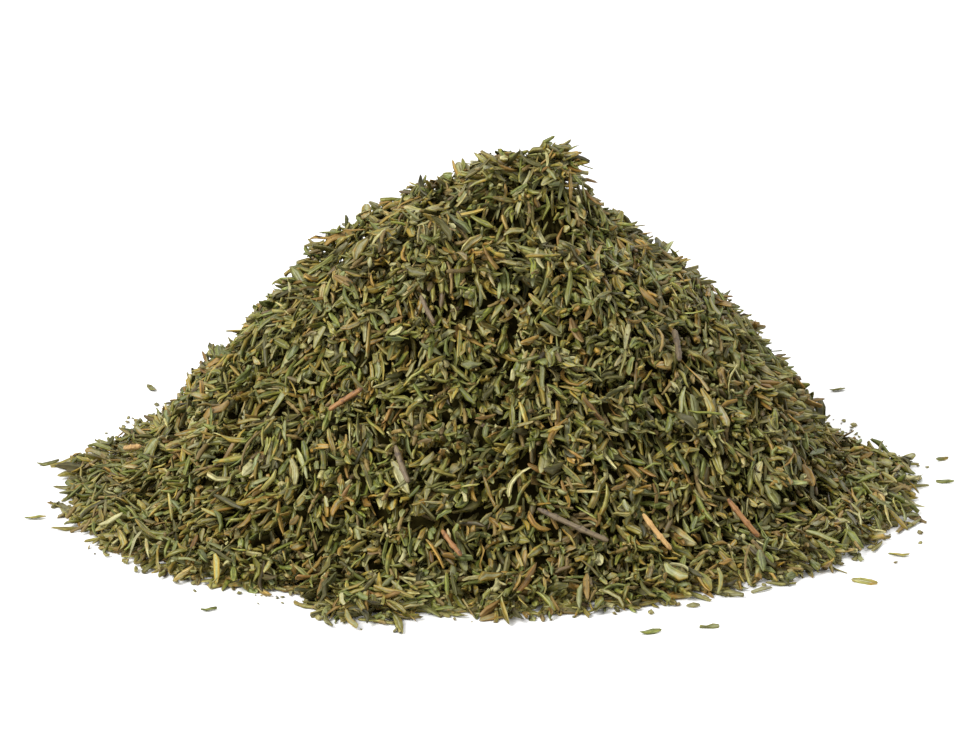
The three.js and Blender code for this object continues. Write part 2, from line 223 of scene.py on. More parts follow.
def draw_pieces(count, longest=LONGEST):
    """Sizes of pieces drawn from the mix, as a dict of arrays, leaves up to a greatest length. Roll is half
    the angle that a leaf's blade is rolled through, so a blade of half width b has the width
    2 b sin(roll) / roll and the height b (1 - cos(roll)) / roll."""
    kind = rng.choice(list(MIX), size=count, p=np.array(list(MIX.values())) / sum(MIX.values()))
    spread = rng.standard_normal((3, count))
    length = np.clip(5.9 + 1.6 * spread[0], 2.4, LONGEST)
    sizes = dict(
        length=np.minimum(length, longest * (0.7 + 0.3 * rng.random(count))),
        width=np.clip(0.89 * np.exp(0.05 * spread[0] + 0.3 * spread[1]), 0.45, 1.6),
        roll=np.clip(2.0 + 0.45 * spread[2], 0.8, 2.6),
        sheet=0.17 + 0.04 * rng.random(count))

    def between(low, step, power=1):
        """A random size for every piece, from low to low + step."""
        return low + step * rng.random(count) ** power

    def resize(one_kind, **drawn):
        """Gives the pieces of one kind these sizes."""
        for key, value in drawn.items():
            sizes[key] = np.where(kind == one_kind, value, sizes[key])

    resize(BROKEN, length=between(1.3, 2.2))
    resize(BROAD, length=between(5, 3.5), width=between(1.6, 0.8), roll=between(0.6, 0.8))
    sizes["half_blade"] = half_blade_of(sizes["width"], sizes["roll"])
    sizes["height"] = sizes["half_blade"] * (1 - np.cos(sizes["roll"])) / sizes["roll"] + sizes["sheet"]
    resize(STEM, length=between(2.5, 6, power=2), width=between(0.45, 0.45))
    resize(STEM, height=sizes["width"])
    resize(HUSK, length=between(2.2, 0.9), width=between(1.1, 0.3))
    resize(HUSK, height=0.8 * sizes["width"])
    resize(TIP, length=between(4.5, 2), width=3.0, height=1.4)
    return dict(sizes, kind=kind)


ALONG = np.linspace(-0.5, 0.5, 9)  # where a piece feels for what lies under it
ACROSS = np.array([-0.4, 0.0, 0.4])
PRINT_ALONG = np.linspace(-0.5, 0.5, 31)  # and where it leaves its print in the map
PRINT_ACROSS = np.linspace(-0.48, 0.48, 7)
TRIES = 4  # places and headings that a piece tries, to come to rest in the lowest
DOWNHILL = 0.86  # share of the tries that head down a steep slope
STEEP, LEAST_STEEP = 0.6, 0.2  # all of that share from this slope on, and this part of it on the flat
PULL_X, PULL_Y = 0.2, 0.8  # added to the way down, towards the nearer of the heap's front and back
PULL_SPAN = 15  # most of it is added from this far off the line between the two
HEADING_SPREAD = 0.36  # how far a heading turns from that
BREADTH_SPREAD = math.radians(17)  # how far a piece tips from the slope across its length
TIP_SPREAD, WIDE_TIP, WIDE_SHARE = 9, 24, 0.2  # and along it, in degrees, wider in a share of the tries
STEEPEST = math.radians(34)  # the most that a lying piece tips away from the slope
STANDING = 0.24  # share of the tries in which a piece stands up out of the others
STANDING_TIP, STANDING_MORE = 38, 32  # degrees that it then tips at least, and at most on top
STANDING_SINK = 0.25  # share of its length that a standing piece sinks in by
SINK = 0.12  # how far a piece settles into what it rests on
UNDER_FLOOR = -0.3  # the lowest that the board under a piece may reach
SLACK, SLACK_MORE = 0.1, 1.4  # how far over the face a piece's middle may come, and by chance on top
STANDING_SLACK = 0.8  # the same for a standing piece
BRIDGED, BRIDGE_SLACK = 2.0, 1.0  # over a gap deeper than this the slack is at least so much
END_SLACK, END_MORE, END_STANDING = 2.2, 0.8, 1.5  # times it for the ends, more, and more if it stands
LEVEL_COST = 0.5  # a piece that lies level counts as this much higher


def square_to(axis, side):
    """Unit vectors square to axis, each in the plane of axis and side: side less its part along axis."""
    side = side - (side * axis).sum(axis=-1, keepdims=True) * axis
    return side / np.linalg.norm(side, axis=-1, keepdims=True)


def choose_headings(y, slope_x, slope_y, drift):
    """Each piece's heading in the slope, as its angle from level and as a unit vector, the angle's cosine
    times the level way plus its sine times the uphill way. Most pieces head down the slope, turned a little
    towards the nearer of the heap's front and back and by a drift that neighbours share."""
    count = len(y)
    steep = np.hypot(slope_x, slope_y) + 1e-6
    normal_z = 1 / np.sqrt(1 + steep**2)
    nearer = -np.tanh(y / PULL_SPAN)
    lean, forward = PULL_X * nearer, PULL_Y * nearer
    towards = np.arctan2(forward * slope_x - lean * slope_y, steep + forward * slope_y + lean * slope_x)
    downhill = rng.random(count) < DOWNHILL * np.clip(steep / STEEP, LEAST_STEEP, 1)
    down = TURN / 4 - towards + drift + HEADING_SPREAD * rng.standard_normal(count)
    heading = np.where(downhill, down, TURN * rng.random(count))
    level = np.stack([-slope_y / steep, slope_x / steep, np.zeros(count)], axis=-1)
    uphill = np.stack([slope_x / steep, slope_y / steep, steep], axis=-1) * normal_z[:, None]
    return heading, np.cos(heading)[:, None] * level + np.sin(heading)[:, None] * uphill


def resting_slope(heights, l):
    """Slope of the chord that a board rests on. Over the heights h_i felt at l_i, these are the two points,
    one either side of its middle, whose chord is highest at the middle, (h_i l_j - h_j l_i) / (l_j - l_i),
    and its slope is (h_j - h_i) / (l_j - l_i)."""
    half = len(ALONG) // 2
    low, high = heights[:, :half, None], heights[:, None, half + 1:]
    l_low, l_high = l[:, :half, None], l[:, None, half + 1:]
    at_middle = ((low * l_high - high * l_low) / (l_high - l_low)).reshape(len(l), -1)
    slope = ((high - low) / (l_high - l_low)).reshape(len(l), -1)
    return slope[np.arange(len(l)), at_middle.argmax(axis=1)]


def tip_pieces(rests_at, own_slope):
    """Each piece's slope along its run, and whether it stands. A lying piece keeps the slope it rests at,
    give or take, but within STEEPEST of the heap's own. A standing piece is set well off that."""
    count = len(own_slope)
    tip = np.arctan(rests_at) - np.arctan(own_slope)
    spread = np.where(rng.random(count) < WIDE_SHARE, WIDE_TIP, TIP_SPREAD)
    tip += np.radians(spread) * rng.standard_normal(count)
    tip = np.clip(tip, -STEEPEST, STEEPEST)
    stands = rng.random(count) < STANDING
    tip = np.where(stands, np.sign(tip) * np.radians(STANDING_TIP + STANDING_MORE * rng.random(count)), tip)
    return np.tan(np.clip(np.arctan(own_slope) + tip, -1.35, 1.35)), stands


def lay(batch, x, y, maps):
    """Lays one batch of pieces, each in the lowest of its TRIES middles (x, y), and returns the ones that
    find a place.

    A piece is a board z = z0 + m l + k b over its run l and its breadth b. k is the slope's own, give or
    take, m comes from tip_pieces, and z0 is the least at which the board clears every height felt, less its
    sink. A piece finds its place if its top comes no higher over the face than its slack, which is greater
    over a gap, and if it passes under the ceiling. It then leaves the print of its top in the ground."""
    batch = {key: np.repeat(value, TRIES) for key, value in batch.items()}
    count = len(x)
    row, column = cells(x, y)
    slope_x, slope_y = maps["slope_x"][row, column], maps["slope_y"][row, column]
    heading, along = choose_headings(y, slope_x, slope_y, maps["drift"][row, column])
    run = np.hypot(along[:, 0], along[:, 1])
    run_x, run_y = along[:, 0] / run, along[:, 1] / run
    across_slope = np.arctan(-slope_x * run_y + slope_y * run_x)
    k = np.tan(across_slope + BREADTH_SPREAD * rng.standard_normal(count))
    reach = batch["length"] * run
    breadth = batch["width"] / np.sqrt(1 + k**2)

    def over(share_along, share_across):
        """The board's l and b at these shares of its run and breadth, and the cells under them."""
        l = reach[:, None, None] * share_along[None, :, None]
        b = breadth[:, None, None] * share_across[None, None, :]
        at_x = x[:, None, None] + l * run_x[:, None, None] - b * run_y[:, None, None]
        at_y = y[:, None, None] + l * run_y[:, None, None] + b * run_x[:, None, None]
        return l, b, cells(at_x, at_y)

    l, b, felt = over(ALONG, ACROSS)
    heights = (maps["ground"][felt] - k[:, None, None] * b).max(axis=2)
    l = l[:, :, 0]
    m, stands = tip_pieces(resting_slope(heights, l), along[:, 2] / run)
    sink = np.where(stands, STANDING_SINK * batch["length"], 0)
    z0 = (heights - m[:, None] * l).max(axis=1) - SINK - sink

    thick = batch["height"] * np.sqrt(1 + m**2 + k**2)
    top = z0[:, None] + thick[:, None] + m[:, None] * l
    over_face = top - maps["face"][felt].max(axis=2)
    slack = np.where(stands, STANDING_SLACK, SLACK + SLACK_MORE * rng.random(count) ** 3)
    gap = maps["face"][row, column] - maps["ground"][row, column]
    slack = np.where(gap > BRIDGED, np.maximum(slack, BRIDGE_SLACK), slack)
    at_middle, near_ends = over_face[:, len(ALONG) // 2], over_face[:, [1, -2]].max(axis=1)
    fits = (at_middle < slack) & (near_ends < END_SLACK * slack + END_MORE + END_STANDING * stands)
    fits &= (top - maps["ceiling"][felt].min(axis=2)).max(axis=1) < 0
    fits &= (z0[:, None] + m[:, None] * l).min(axis=1) > UNDER_FLOOR
    score = np.where(fits, at_middle + LEVEL_COST * np.abs(np.cos(heading)), 1e3).reshape(-1, TRIES)
    chosen = score.argmin(axis=1) + TRIES * np.arange(len(score))
    chosen = chosen[fits[chosen]]

    x, y, z0, m, k, thick = (value[chosen] for value in (x, y, z0, m, k, thick))
    reach, breadth, run_x, run_y = (value[chosen] for value in (reach, breadth, run_x, run_y))
    batch = {key: value[chosen] for key, value in batch.items()}
    l, b, printed = over(PRINT_ALONG, PRINT_ACROSS)
    crown = 1 - 0.55 * (2 * PRINT_ACROSS[None, None, :]) ** 2
    crown = crown - 0.5 * np.abs(2 * PRINT_ALONG[None, :, None]) ** 6
    surface = z0[:, None, None] + m[:, None, None] * l + k[:, None, None] * b + thick[:, None, None] * crown
    np.maximum.at(maps["ground"], printed, surface)

    axis = np.stack([run_x, run_y, m], axis=-1)
    axis /= np.linalg.norm(axis, axis=-1, keepdims=True)
    side = square_to(axis, np.stack([-run_y, run_x, k], axis=-1))
    middle = np.stack([x, y, z0 + 0.5 * thick], axis=-1)
    return dict(batch, middle=middle, axis=axis, side=side)


BLOCK = 2.0  # side of the squares in which room is looked for
APART = 5  # pieces laid in one round are this many squares apart
AMPLE_ROOM = 1.2  # with this much room on the mean, a square surely gets a piece
ROUNDS, LAST_ROUNDS = 380, 110  # and in the last rounds short leaves fill the gaps


def fill(maps):
    """Lays pieces in rounds. Each round takes every APARTth square along X and Y, from a random start,
    and lays a piece in it with a chance that grows with the room left under the face. The last rounds lay
    short leaves."""
    per_block = int(BLOCK / CELL)
    rows, columns = (side // per_block for side in maps["ground"].shape)
    laid = []
    for round_now in range(ROUNDS + LAST_ROUNDS):
        room = np.maximum(maps["face"] - maps["ground"], 0)[:rows * per_block, :columns * per_block]
        room = room.reshape(rows, per_block, columns, per_block).mean(axis=(1, 3))
        start = rng.integers(0, APART, 2)
        block_row, block_column = np.meshgrid(
            np.arange(start[0], rows, APART), np.arange(start[1], columns, APART), indexing="ij")
        block_row, block_column = block_row.ravel(), block_column.ravel()
        wanted = rng.random(len(block_row)) < np.clip(room[block_row, block_column] / AMPLE_ROOM, 0, 1)
        block_row, block_column = block_row[wanted], block_column[wanted]
        tries = len(block_row) * TRIES
        x = (np.repeat(block_column, TRIES) + rng.random(tries)) * BLOCK - HALF_X
        y = (np.repeat(block_row, TRIES) + rng.random(tries)) * BLOCK - HALF_Y
        longest = LONGEST if round_now < ROUNDS else SHORT_FILL
        laid.append(lay(draw_pieces(len(block_row), longest), x, y, maps))
    return {key: np.concatenate([batch[key] for batch in laid]) for key in laid[0]}


def axis_of(node):
    """Middle, direction, length and width of a slim CAD node, in millimetres, from the spread of its
    corners about their mean."""
    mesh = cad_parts[node].data
    corners = np.empty(3 * len(mesh.vertices))
    mesh.vertices.foreach_get("co", corners)
    corners = corners.reshape(-1, 3) / MM
    middle = (corners.min(axis=0) + corners.max(axis=0)) / 2
    _, _, directions = np.linalg.svd(corners - corners.mean(axis=0), full_matrices=False)
    extents = np.ptp(corners @ directions.T, axis=0)
    return middle, directions[0], extents[0], extents[1]


def slim_nodes(start):
    """What axis_of finds for every node whose name starts like this, by name."""
    return {name: axis_of(name) for name in sorted(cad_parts) if name.startswith(start)}


stems, strays = slim_nodes("stem_"), slim_nodes("stray_leaf_")


# By turn from +X in degrees: how far the cover's edge lies outside the face's foot, and how far the slope
# just over the edge is lowered.
EDGE = np.array([
    [-180, -1.5, 2.5], [-170, -5.5, 1.5], [-162, -3.5, 1], [-154, -0.8, 0.5], [-140, 0, 0],
    [-126, -2.2, 0], [-115, -7, 0], [-105, 3, 0], [-95, -4, 0], [-85, -2.8, 0],
    [-75, -0.4, 0], [-65, -0.3, 0], [-55, -2, 0.2], [-45, -2.8, 0.5], [-35, -1, 1],
    [-25, -0.9, 1.5], [-8, -3, 3], [0, -2.5, 4], [6, -8.5, 4], [14, -11.5, 3.5],
    [26, -11.5, 2], [36, -8, 1], [55, -5, 0], [90, -3, 0], [120, -4, 0],
    [145, -8, 0.5], [154, -9, 1], [166, -10, 2], [174, -6.5, 2.5], [180, -1.5, 2.5],
])

# Where the cover stands out from the face or lies back: X, Y, spread, how far.
COVER_SWELLS = [
    (11, -1, 6.5, 2.7), (19, -2, 3.5, 2.5), (-3, -2, 5, 1.2),
    (-15, 0, 6, 1.5), (-62, -2, 14, -1.8), (40, 0, 8, -1.6),
]
COVER_INSET = 2.5  # the cover is laid up to this far inside the outer face, and leaf ends stand out of it
SKIRT = 1.5  # least thickness of the cover at its edge
DRAWN_IN = 13  # how high up the face follows an edge that lies inside the foot, as a bell
LOWERED_AT, LOWERED_SPREAD = 8, 6  # height at which the slope is lowered most, and the bell's spread
PACKED_DROP = 13.5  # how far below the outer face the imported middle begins
PACKED_INSET = 6  # how far inside the cover's edge its foot lies
SUMMIT_LIFT = (9, 2, 10, 6.5)  # and where it begins higher: X, Y, spread, how far


def edge_reach(turn):
    """How far the cover's edge lies outside the face's foot at a turn: EDGE, straight between its rows."""
    return np.interp(wrapped(np.degrees(turn)), EDGE[:, 0], EDGE[:, 1])


def edge_place(x, y):
    """How far each place lies inside the cover's edge, which is the foot's half width at its turn about the
    heap's middle, plus the edge's own reach there, less its distance from the middle; then that reach, and
    how far the slope is lowered there."""
    turn = np.arctan2(y / DEPTH_SHARE, x - LEVELS[0, 1])
    foot = face_points(turn, np.zeros(turn.shape))
    half_width = np.hypot(foot[..., 0] - LEVELS[0, 1], foot[..., 1] / DEPTH_SHARE)
    beyond, lowered = (np.interp(np.degrees(turn), EDGE[:, 0], EDGE[:, k]) for k in (1, 2))
    return half_width + beyond - np.hypot(x - LEVELS[0, 1], y / DEPTH_SHARE), beyond, lowered


def cover_face(pit):
    """The height that the cover is laid up to: the face moved inwards, lowered by bells over its height
    where the cover's edge lies inside the foot or the slope is lowered, raised by the cover's swells,
    uneven by random lumps and sunk by the pits. It ends at the cover's edge, which wanders by lumps of
    its own."""
    face = height_map(COVER_INSET)
    inside, beyond, lowered = edge_place(MAP_X, MAP_Y)
    drawn_in = 0.75 * np.minimum(beyond, 0) * np.exp(-(face / DRAWN_IN) ** 2)
    face = face + drawn_in - lowered * np.exp(-((face - LOWERED_AT) / LOWERED_SPREAD) ** 2)
    on_heap = smooth((face > 0).astype(float), 2)
    for x, y, spread, out in COVER_SWELLS:
        face = face + out * on_heap * bell_at(x, y, spread)
    face = face + on_heap * (1.2 * lumps(4, 1).clip(-3, 0.9) + 1.6 * lumps(10, 2).clip(-2, 0.8) - pit)
    within = inside + 1.2 * lumps(6, 3) + 0.7 * lumps(2.5, 7) > 0
    return np.where(within, np.maximum(face, SKIRT + 0.5 * np.clip(inside, 0, 5)), 0.0)


def stem_ceiling():
    """The height of the underside of each stem that lies on the heap, and far above the heap elsewhere."""
    ceiling = empty_map(1e3)
    for middle, direction, length, width in stems.values():
        along = np.linspace(-0.5, 0.5, 60)[:, None, None]
        aside = np.linspace(-0.9, 0.9, 9)[None, :, None]
        flat_side = np.array([-direction[1], direction[0], 0]) / np.hypot(direction[0], direction[1])
        points = middle + along * length * direction + aside * flat_side
        np.minimum.at(ceiling, cells(points[..., 0], points[..., 1]), points[..., 2] - width / 2)
    return ceiling


def packed_top(pit):
    """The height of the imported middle: the outer face less PACKED_DROP, which is less by the summit, as a
    bell, and more under the pits."""
    outer = smooth(smooth(height_map(0), 6), 6)
    x, y, spread, lift = SUMMIT_LIFT
    drop = PACKED_DROP - lift * bell_at(x, y, spread) + 0.8 * smooth(pit, 4)
    return np.maximum(outer - drop, 0)


def make_maps():
    """The maps that laying reads: the ground so far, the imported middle, the face to reach, its slopes, the
    ceiling under the stems that lie on the heap, and how far neighbours' headings drift."""
    pit = pits()
    face, packed = cover_face(pit), packed_top(pit)
    slope_y, slope_x = np.gradient(smooth(smooth(face, 8), 8), CELL)
    return dict(
        ground=packed.copy(), packed=packed, face=face, slope_x=slope_x, slope_y=slope_y,
        ceiling=stem_ceiling(), drift=0.42 * lumps(9, 11).clip(-2, 2))


maps = make_maps()
laid = fill(maps)


def cover_over(pieces, maps):
    """How deep each piece lies under the finished cover, at the least covered of its middle and ends."""
    depths = []
    for share in (-0.4, 0.0, 0.4):
        point = pieces["middle"] + (share * pieces["length"])[:, None] * pieces["axis"]
        top = point[:, 2] + 0.5 * pieces["height"]
        depths.append(maps["ground"][cells(point[:, 0], point[:, 1])] - top)
    return np.min(depths, axis=0)


depth = cover_over(laid, maps)


# ---- Meshes ----

FLOOR_GAP = 0.02  # no point of a piece is lower than this


def skin_faces(rings, around):
    """Corners of the faces of a closed skin: a first point, rings of points, then a last point. Quads
    join each ring to the next and triangles join the end rings to the end points. Every ring turns from
    +Z towards +Y as it is looked at along the skin from its last point, so that faces point outwards. The
    pattern's place of a corner is its ring along the skin and its place round the ring."""
    j = np.arange(around)
    next_j = (j + 1) % around
    i = np.arange(rings - 1)[:, None]
    first = 1 + i * around
    quads = np.stack([first + j, first + around + j, first + around + next_j, first + next_j], axis=-1)
    quads = quads.reshape(-1, 4)
    low, high = (i + 1 + 0 * j), (i + 2 + 0 * j)
    v, next_v = (0 * i + j), (0 * i + j + 1)
    quad_places = np.stack([low, v, high, v, high, next_v, low, next_v], axis=-1).reshape(-1, 4, 2)
    heel = np.stack([0 * j, 1 + j, 1 + next_j], axis=-1)
    heel_places = np.stack([0 * j, j + 0.5, 0 * j + 1, j, 0 * j + 1, j + 1], axis=-1).reshape(-1, 3, 2)
    last_ring, tip = 1 + (rings - 1) * around, 1 + rings * around
    end = np.stack([last_ring + j, 0 * j + tip, last_ring + next_j], axis=-1)
    end_places = np.stack([0 * j + rings, j, 0 * j + rings + 1, j + 0.5, 0 * j + rings, j + 1], axis=-1)
    places = [part.reshape(-1, 2) for part in (quad_places, heel_places, end_places)]
    return dict(
        corners=np.concatenate([quads.ravel(), heel.ravel(), end.ravel()]),
        sizes=np.array([4] * len(quads) + [3] * (2 * around)),
        places=np.concatenate(places) / np.array([rings + 1, around]))


def make_skin(first, rings, last, spots, tint, last_spot=(1, 0, 0)):
    """A closed skin for each piece: its points in the order that skin_faces numbers them, none of them in
    the floor, each point's place on the piece, and the piece's tint."""
    count, stations, around = rings.shape[:3]
    points = np.concatenate([first[:, None], rings.reshape(count, -1, 3), last[:, None]], axis=1)
    points[..., 2] = np.maximum(points[..., 2], FLOOR_GAP)
    ends = np.zeros((count, 1, 3))
    spots = np.concatenate([ends, spots.reshape(count, -1, 3), ends + last_spot], axis=1)
    return dict(skin_faces(stations, around), points=points, spot=spots, tint=tint)


def placed(pieces, x, y, z):
    """Points at x along each piece's axis, y along its side and z along the third way, which is square to
    both: middle + x axis + y side + z (axis cross side)."""
    up = np.cross(pieces["axis"], pieces["side"])
    points = pieces["middle"][:, None, None] + x[..., None] * pieces["axis"][:, None, None]
    return points + y[..., None] * pieces["side"][:, None, None] + z[..., None] * up[:, None, None]


def make_piece(name, skins, material, replaced="leaf_heap"):
    """One mesh of many closed skins, each with its own tile of the UV map. They carry two sets of numbers
    for the materials: a skin's tint, the same all over it, and each of its points' place on it."""
    vertices, corners, sizes, tiles, tints, places = [], [], [], [], [], []
    first_vertex = first_tile = 0
    across = math.ceil(math.sqrt(sum(len(skin["points"]) for skin in skins)))
    for skin in skins:
        count, per_skin = skin["points"].shape[:2]
        vertices.append(skin["points"].reshape(-1, 3))
        start = first_vertex + per_skin * np.arange(count)[:, None]
        corners.append((start + skin["corners"]).ravel())
        sizes.append(np.tile(skin["sizes"], count))
        tile = first_tile + np.arange(count)
        origin = np.stack([tile % across, tile // across], axis=-1)[:, None]
        tiles.append(((origin + 0.1 + 0.8 * skin["places"]) / across).reshape(-1, 2))
        tints.append(np.repeat(skin["tint"], per_skin, axis=0))
        places.append(np.broadcast_to(skin["spot"], (count, per_skin, 3)).reshape(-1, 3))
        first_vertex += count * per_skin
        first_tile += count
    corners, sizes = np.concatenate(corners), np.concatenate(sizes)
    mesh = bpy.data.meshes.new(name)
    mesh.vertices.add(first_vertex)
    mesh.vertices.foreach_set("co", (np.concatenate(vertices) * MM).ravel().astype(np.float32))
    mesh.loops.add(len(corners))
    mesh.loops.foreach_set("vertex_index", corners.astype(np.int32))
    mesh.polygons.add(len(sizes))
    mesh.polygons.foreach_set("loop_start", (np.cumsum(sizes) - sizes).astype(np.int32))
    mesh.polygons.foreach_set("use_smooth", np.ones(len(sizes), dtype=bool))
    uv_map = mesh.uv_layers.new(name="OFBake")
    uv_map.data.foreach_set("uv", np.concatenate(tiles).ravel().astype(np.float32))
    for attribute, values in (("tint", tints), ("spot", places)):
        layer = mesh.attributes.new(attribute, "FLOAT_VECTOR", "POINT")
        layer.data.foreach_set("vector", np.concatenate(values).ravel().astype(np.float32))
    mesh.update()
    mesh.validate()
    mesh.materials.append(material)
    piece = bpy.data.objects.new(name, mesh)
    bpy.context.scene.collection.objects.link(piece)
    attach(piece, "root")
    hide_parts(replaced)


def pick(pieces, mask):
    """The pieces of a dict of arrays that a mask chooses."""
    return {key: value[mask] for key, value in pieces.items()}


def joined(*batches):
    """Batches of pieces one after another in one dict of arrays."""
    return {key: np.concatenate([batch[key] for batch in batches]) for key in batches[0]}


# ---- Leaves ----

# A leaf's section: places across the blade from edge to edge over its upper side, then back along its
# underside, and which side each is on.
FINE_SECTION = (np.array([-1, -0.55, 0, 0.55, 1, 0]), np.array([1, 1, 1, 1, 1, -1]))
PLAIN_SECTION = (np.array([-1, -0.4, 0.4, 1, 0]), np.array([1, 1, 1, 1, -1]))
# Where its sections are along it and how wide it is there.
FINE_OUTLINE = (np.array([0.07, 0.31, 0.66, 0.93]), np.array([0.42, 0.95, 1, 0.5]))
PLAIN_OUTLINE = (np.array([0.08, 0.5, 0.92]), np.array([0.5, 1, 0.52]))
HOOK_OUTLINE = (np.array([0.05, 0.18, 0.36, 0.55, 0.75, 0.93]), np.array([0.45, 0.85, 1, 1, 0.85, 0.5]))

BACK_UP, UNDERSIDE_UP = 0.55, 0.85  # draws up to these lie so, and the rest on their side
CUT_SHARE = 0.12  # share of the leaves, but for broad ones, whose heel is broken off
UNEVEN = 0.035  # how far a leaf's points stray
GROOVE = 0.34  # depth of the groove on top, over the radius of the roll


def leaf_habit(leaves):
    """How each leaf has dried: its bend, the way it bends, its twist, and how it is turned about its own
    length, back up, underside up or on its side."""
    count = len(leaves["length"])
    hook = leaves["kind"] == HOOK
    hooked = 1.7 + 1.3 * rng.random(count)
    bend = np.where(hook, hooked, np.clip(0.75 * rng.standard_normal(count), -1.5, 1.5))
    bend_way = np.where(hook, math.pi * rng.integers(0, 2, count), 0.6 * rng.standard_normal(count))
    twist = 0.9 * rng.standard_normal(count)
    wave = np.where(hook, 0, 0.035 * leaves["length"] * rng.standard_normal(count))
    lies = rng.random(count)
    back_up = 0.6 * rng.standard_normal(count)
    turned = np.where(lies < BACK_UP, back_up, math.pi + 0.7 * rng.standard_normal(count))
    on_side = 1.5 * np.sign(rng.random(count) - 0.5) + 0.4 * rng.standard_normal(count)
    turned = np.where(lies > UNDERSIDE_UP, on_side, turned)
    return dict(leaves, bend=bend, bend_way=bend_way, twist=twist, turned=turned, wave=wave)


def leaf_skins(leaves, section, outline):
    """Dried leaves, rolled in from their edges. A blade of half width b f is rolled about a line under it
    through the angle a either way: at s across it, from -1 to 1, it is at Y = (r + d) sin(a s) and
    Z = (r + d) cos(a s) - r, where r = b f/a and d is half the sheet's thickness, added above and taken
    off below. A shallow groove follows the middle of the upper side. The leaf's length L is bent to a
    circular arc through the angle c in a plane at an angle round it, so that at t along it, from -1/2 to
    1/2, it is L sin(c t) / c along and L (1 - cos(c t)) / c off the straight. Across that plane it swings
    as one wave of a sine, and its sections are turned by its twist times t."""
    s, side_out = section
    at, wide = outline
    count, stations = len(leaves["length"]), len(at)
    column = {key: value[:, None, None] for key, value in leaves.items() if value.ndim == 1}
    t = at + 0.025 * rng.standard_normal((count, stations)).clip(-2, 2)
    f = wide * (1 + 0.09 * rng.standard_normal((count, stations)))
    cut = (leaves["kind"] == BROKEN) | (leaves["kind"] != BROAD) & (rng.random(count) < CUT_SHARE)
    t[cut, 0] = 0.015
    f[cut, 0] = wide[1] * (0.8 + 0.2 * rng.random(cut.sum()))
    radius = column["half_blade"] * f[:, :, None] / column["roll"]
    offset = side_out * column["sheet"] / 2 * (0.55 + 0.45 * np.minimum(f, 1))[:, :, None]
    angle = column["roll"] * s
    reach = np.maximum(radius + offset, 0.12 * radius)
    y = reach * np.sin(angle)
    z = reach * np.cos(angle) - radius
    z -= GROOVE * radius * (s == 0) * (side_out > 0)
    y += UNEVEN * rng.standard_normal(y.shape)
    z += UNEVEN * rng.standard_normal(z.shape)
    z += column["half_blade"] * (1 - np.cos(column["roll"])) / column["roll"] / 2

    ends = np.stack([np.zeros(count), np.ones(count)], axis=1)
    all_t = np.concatenate([ends[:, :1], t, ends[:, 1:]], axis=1) - 0.5
    end_y = 0.05 * rng.standard_normal((count, 2))
    end_z = z.mean(axis=2)[:, [0, -1]] + 0.5 * (z.max(axis=2) - z.mean(axis=2))[:, [0, -1]]
    end_z[cut, 0] = z.mean(axis=2)[cut, 0]

    def with_ends(rings, ends):
        """The rings with one more at each end, whose points all lie in one place."""
        first, last = (end[:, :, None].repeat(len(s), 2) for end in (ends[:, :1], ends[:, 1:]))
        return np.concatenate([first, rings, last], axis=1)

    y, z = with_ends(y, end_y), with_ends(z, end_z)

    turned = column["turned"] + column["twist"] * all_t[:, :, None]
    across = y * np.cos(turned) + z * np.sin(turned)
    above = z * np.cos(turned) - y * np.sin(turned)
    bend = np.where(np.abs(column["bend"]) < 0.01, 0.01, column["bend"])
    way_y, way_z = np.cos(column["bend_way"]), np.sin(column["bend_way"])
    in_plane = across * way_y + above * way_z
    out_of_plane = above * way_y - across * way_z + column["wave"] * np.sin(TURN * all_t)[:, :, None]
    arc = bend * all_t[:, :, None]
    length = column["length"]
    forward = length * np.sin(arc) / bend - in_plane * np.sin(arc)
    off = length * (1 - np.cos(arc)) / bend - 0.5 * length * (1 - np.cos(bend / 2)) / bend
    off = off + in_plane * np.cos(arc)
    local_y = off * way_y - out_of_plane * way_z
    local_z = off * way_z + out_of_plane * way_y

    points = placed(leaves, forward, local_y, local_z)
    along = np.broadcast_to((all_t + 0.5)[:, 1:-1, None], y[:, 1:-1].shape)
    places = [along, np.broadcast_to(s, along.shape), np.broadcast_to(side_out < 0, along.shape)]
    return make_skin(
        points[:, 0, 0], points[:, 1:-1], points[:, -1, 0], np.stack(places, axis=-1), leaves["tint"])


def shoot_tips(tips):
    """Leaves of a shoot's tip, in pairs along its middle that turn a quarter from pair to pair, each leaf
    tipped out from the shoot by its own angle."""
    pairs, count = 4, len(tips["length"])
    up = np.cross(tips["axis"], tips["side"])
    leaves = []
    for k in range(2 * pairs):
        along = -0.42 + 0.17 * (k // 2)
        around = math.pi * (k % 2) + 0.5 * math.pi * (k // 2) + 0.3 * rng.standard_normal(count)
        out = np.cos(around)[:, None] * tips["side"] + np.sin(around)[:, None] * up * 0.7
        open_by = np.clip(0.75 - 0.12 * (k // 2) + 0.2 * rng.standard_normal(count), 0.1, 1.3)[:, None]
        axis = np.cos(open_by) * tips["axis"] + np.sin(open_by) * out
        axis /= np.linalg.norm(axis, axis=-1, keepdims=True)
        length = tips["length"] * (0.62 - 0.06 * (k // 2)) * (0.8 + 0.3 * rng.random(count))
        heel = tips["middle"] + (along * tips["length"])[:, None] * tips["axis"]
        middle = heel + 0.5 * length[:, None] * axis
        side = square_to(axis, np.cross(tips["axis"], out))
        roll = np.clip(1.5 + 0.4 * rng.standard_normal(count), 0.6, 2.4)
        width = 0.85 + 0.2 * rng.random(count)
        leaves.append(dict(
            kind=np.full(count, LEAF), length=length, width=width, roll=roll, sheet=np.full(count, 0.16),
            half_blade=half_blade_of(width, roll), height=np.full(count, 0.8),
            middle=middle, axis=axis, side=side))
    return joined(*leaves)


# ---- Stems, husks and crumbs ----

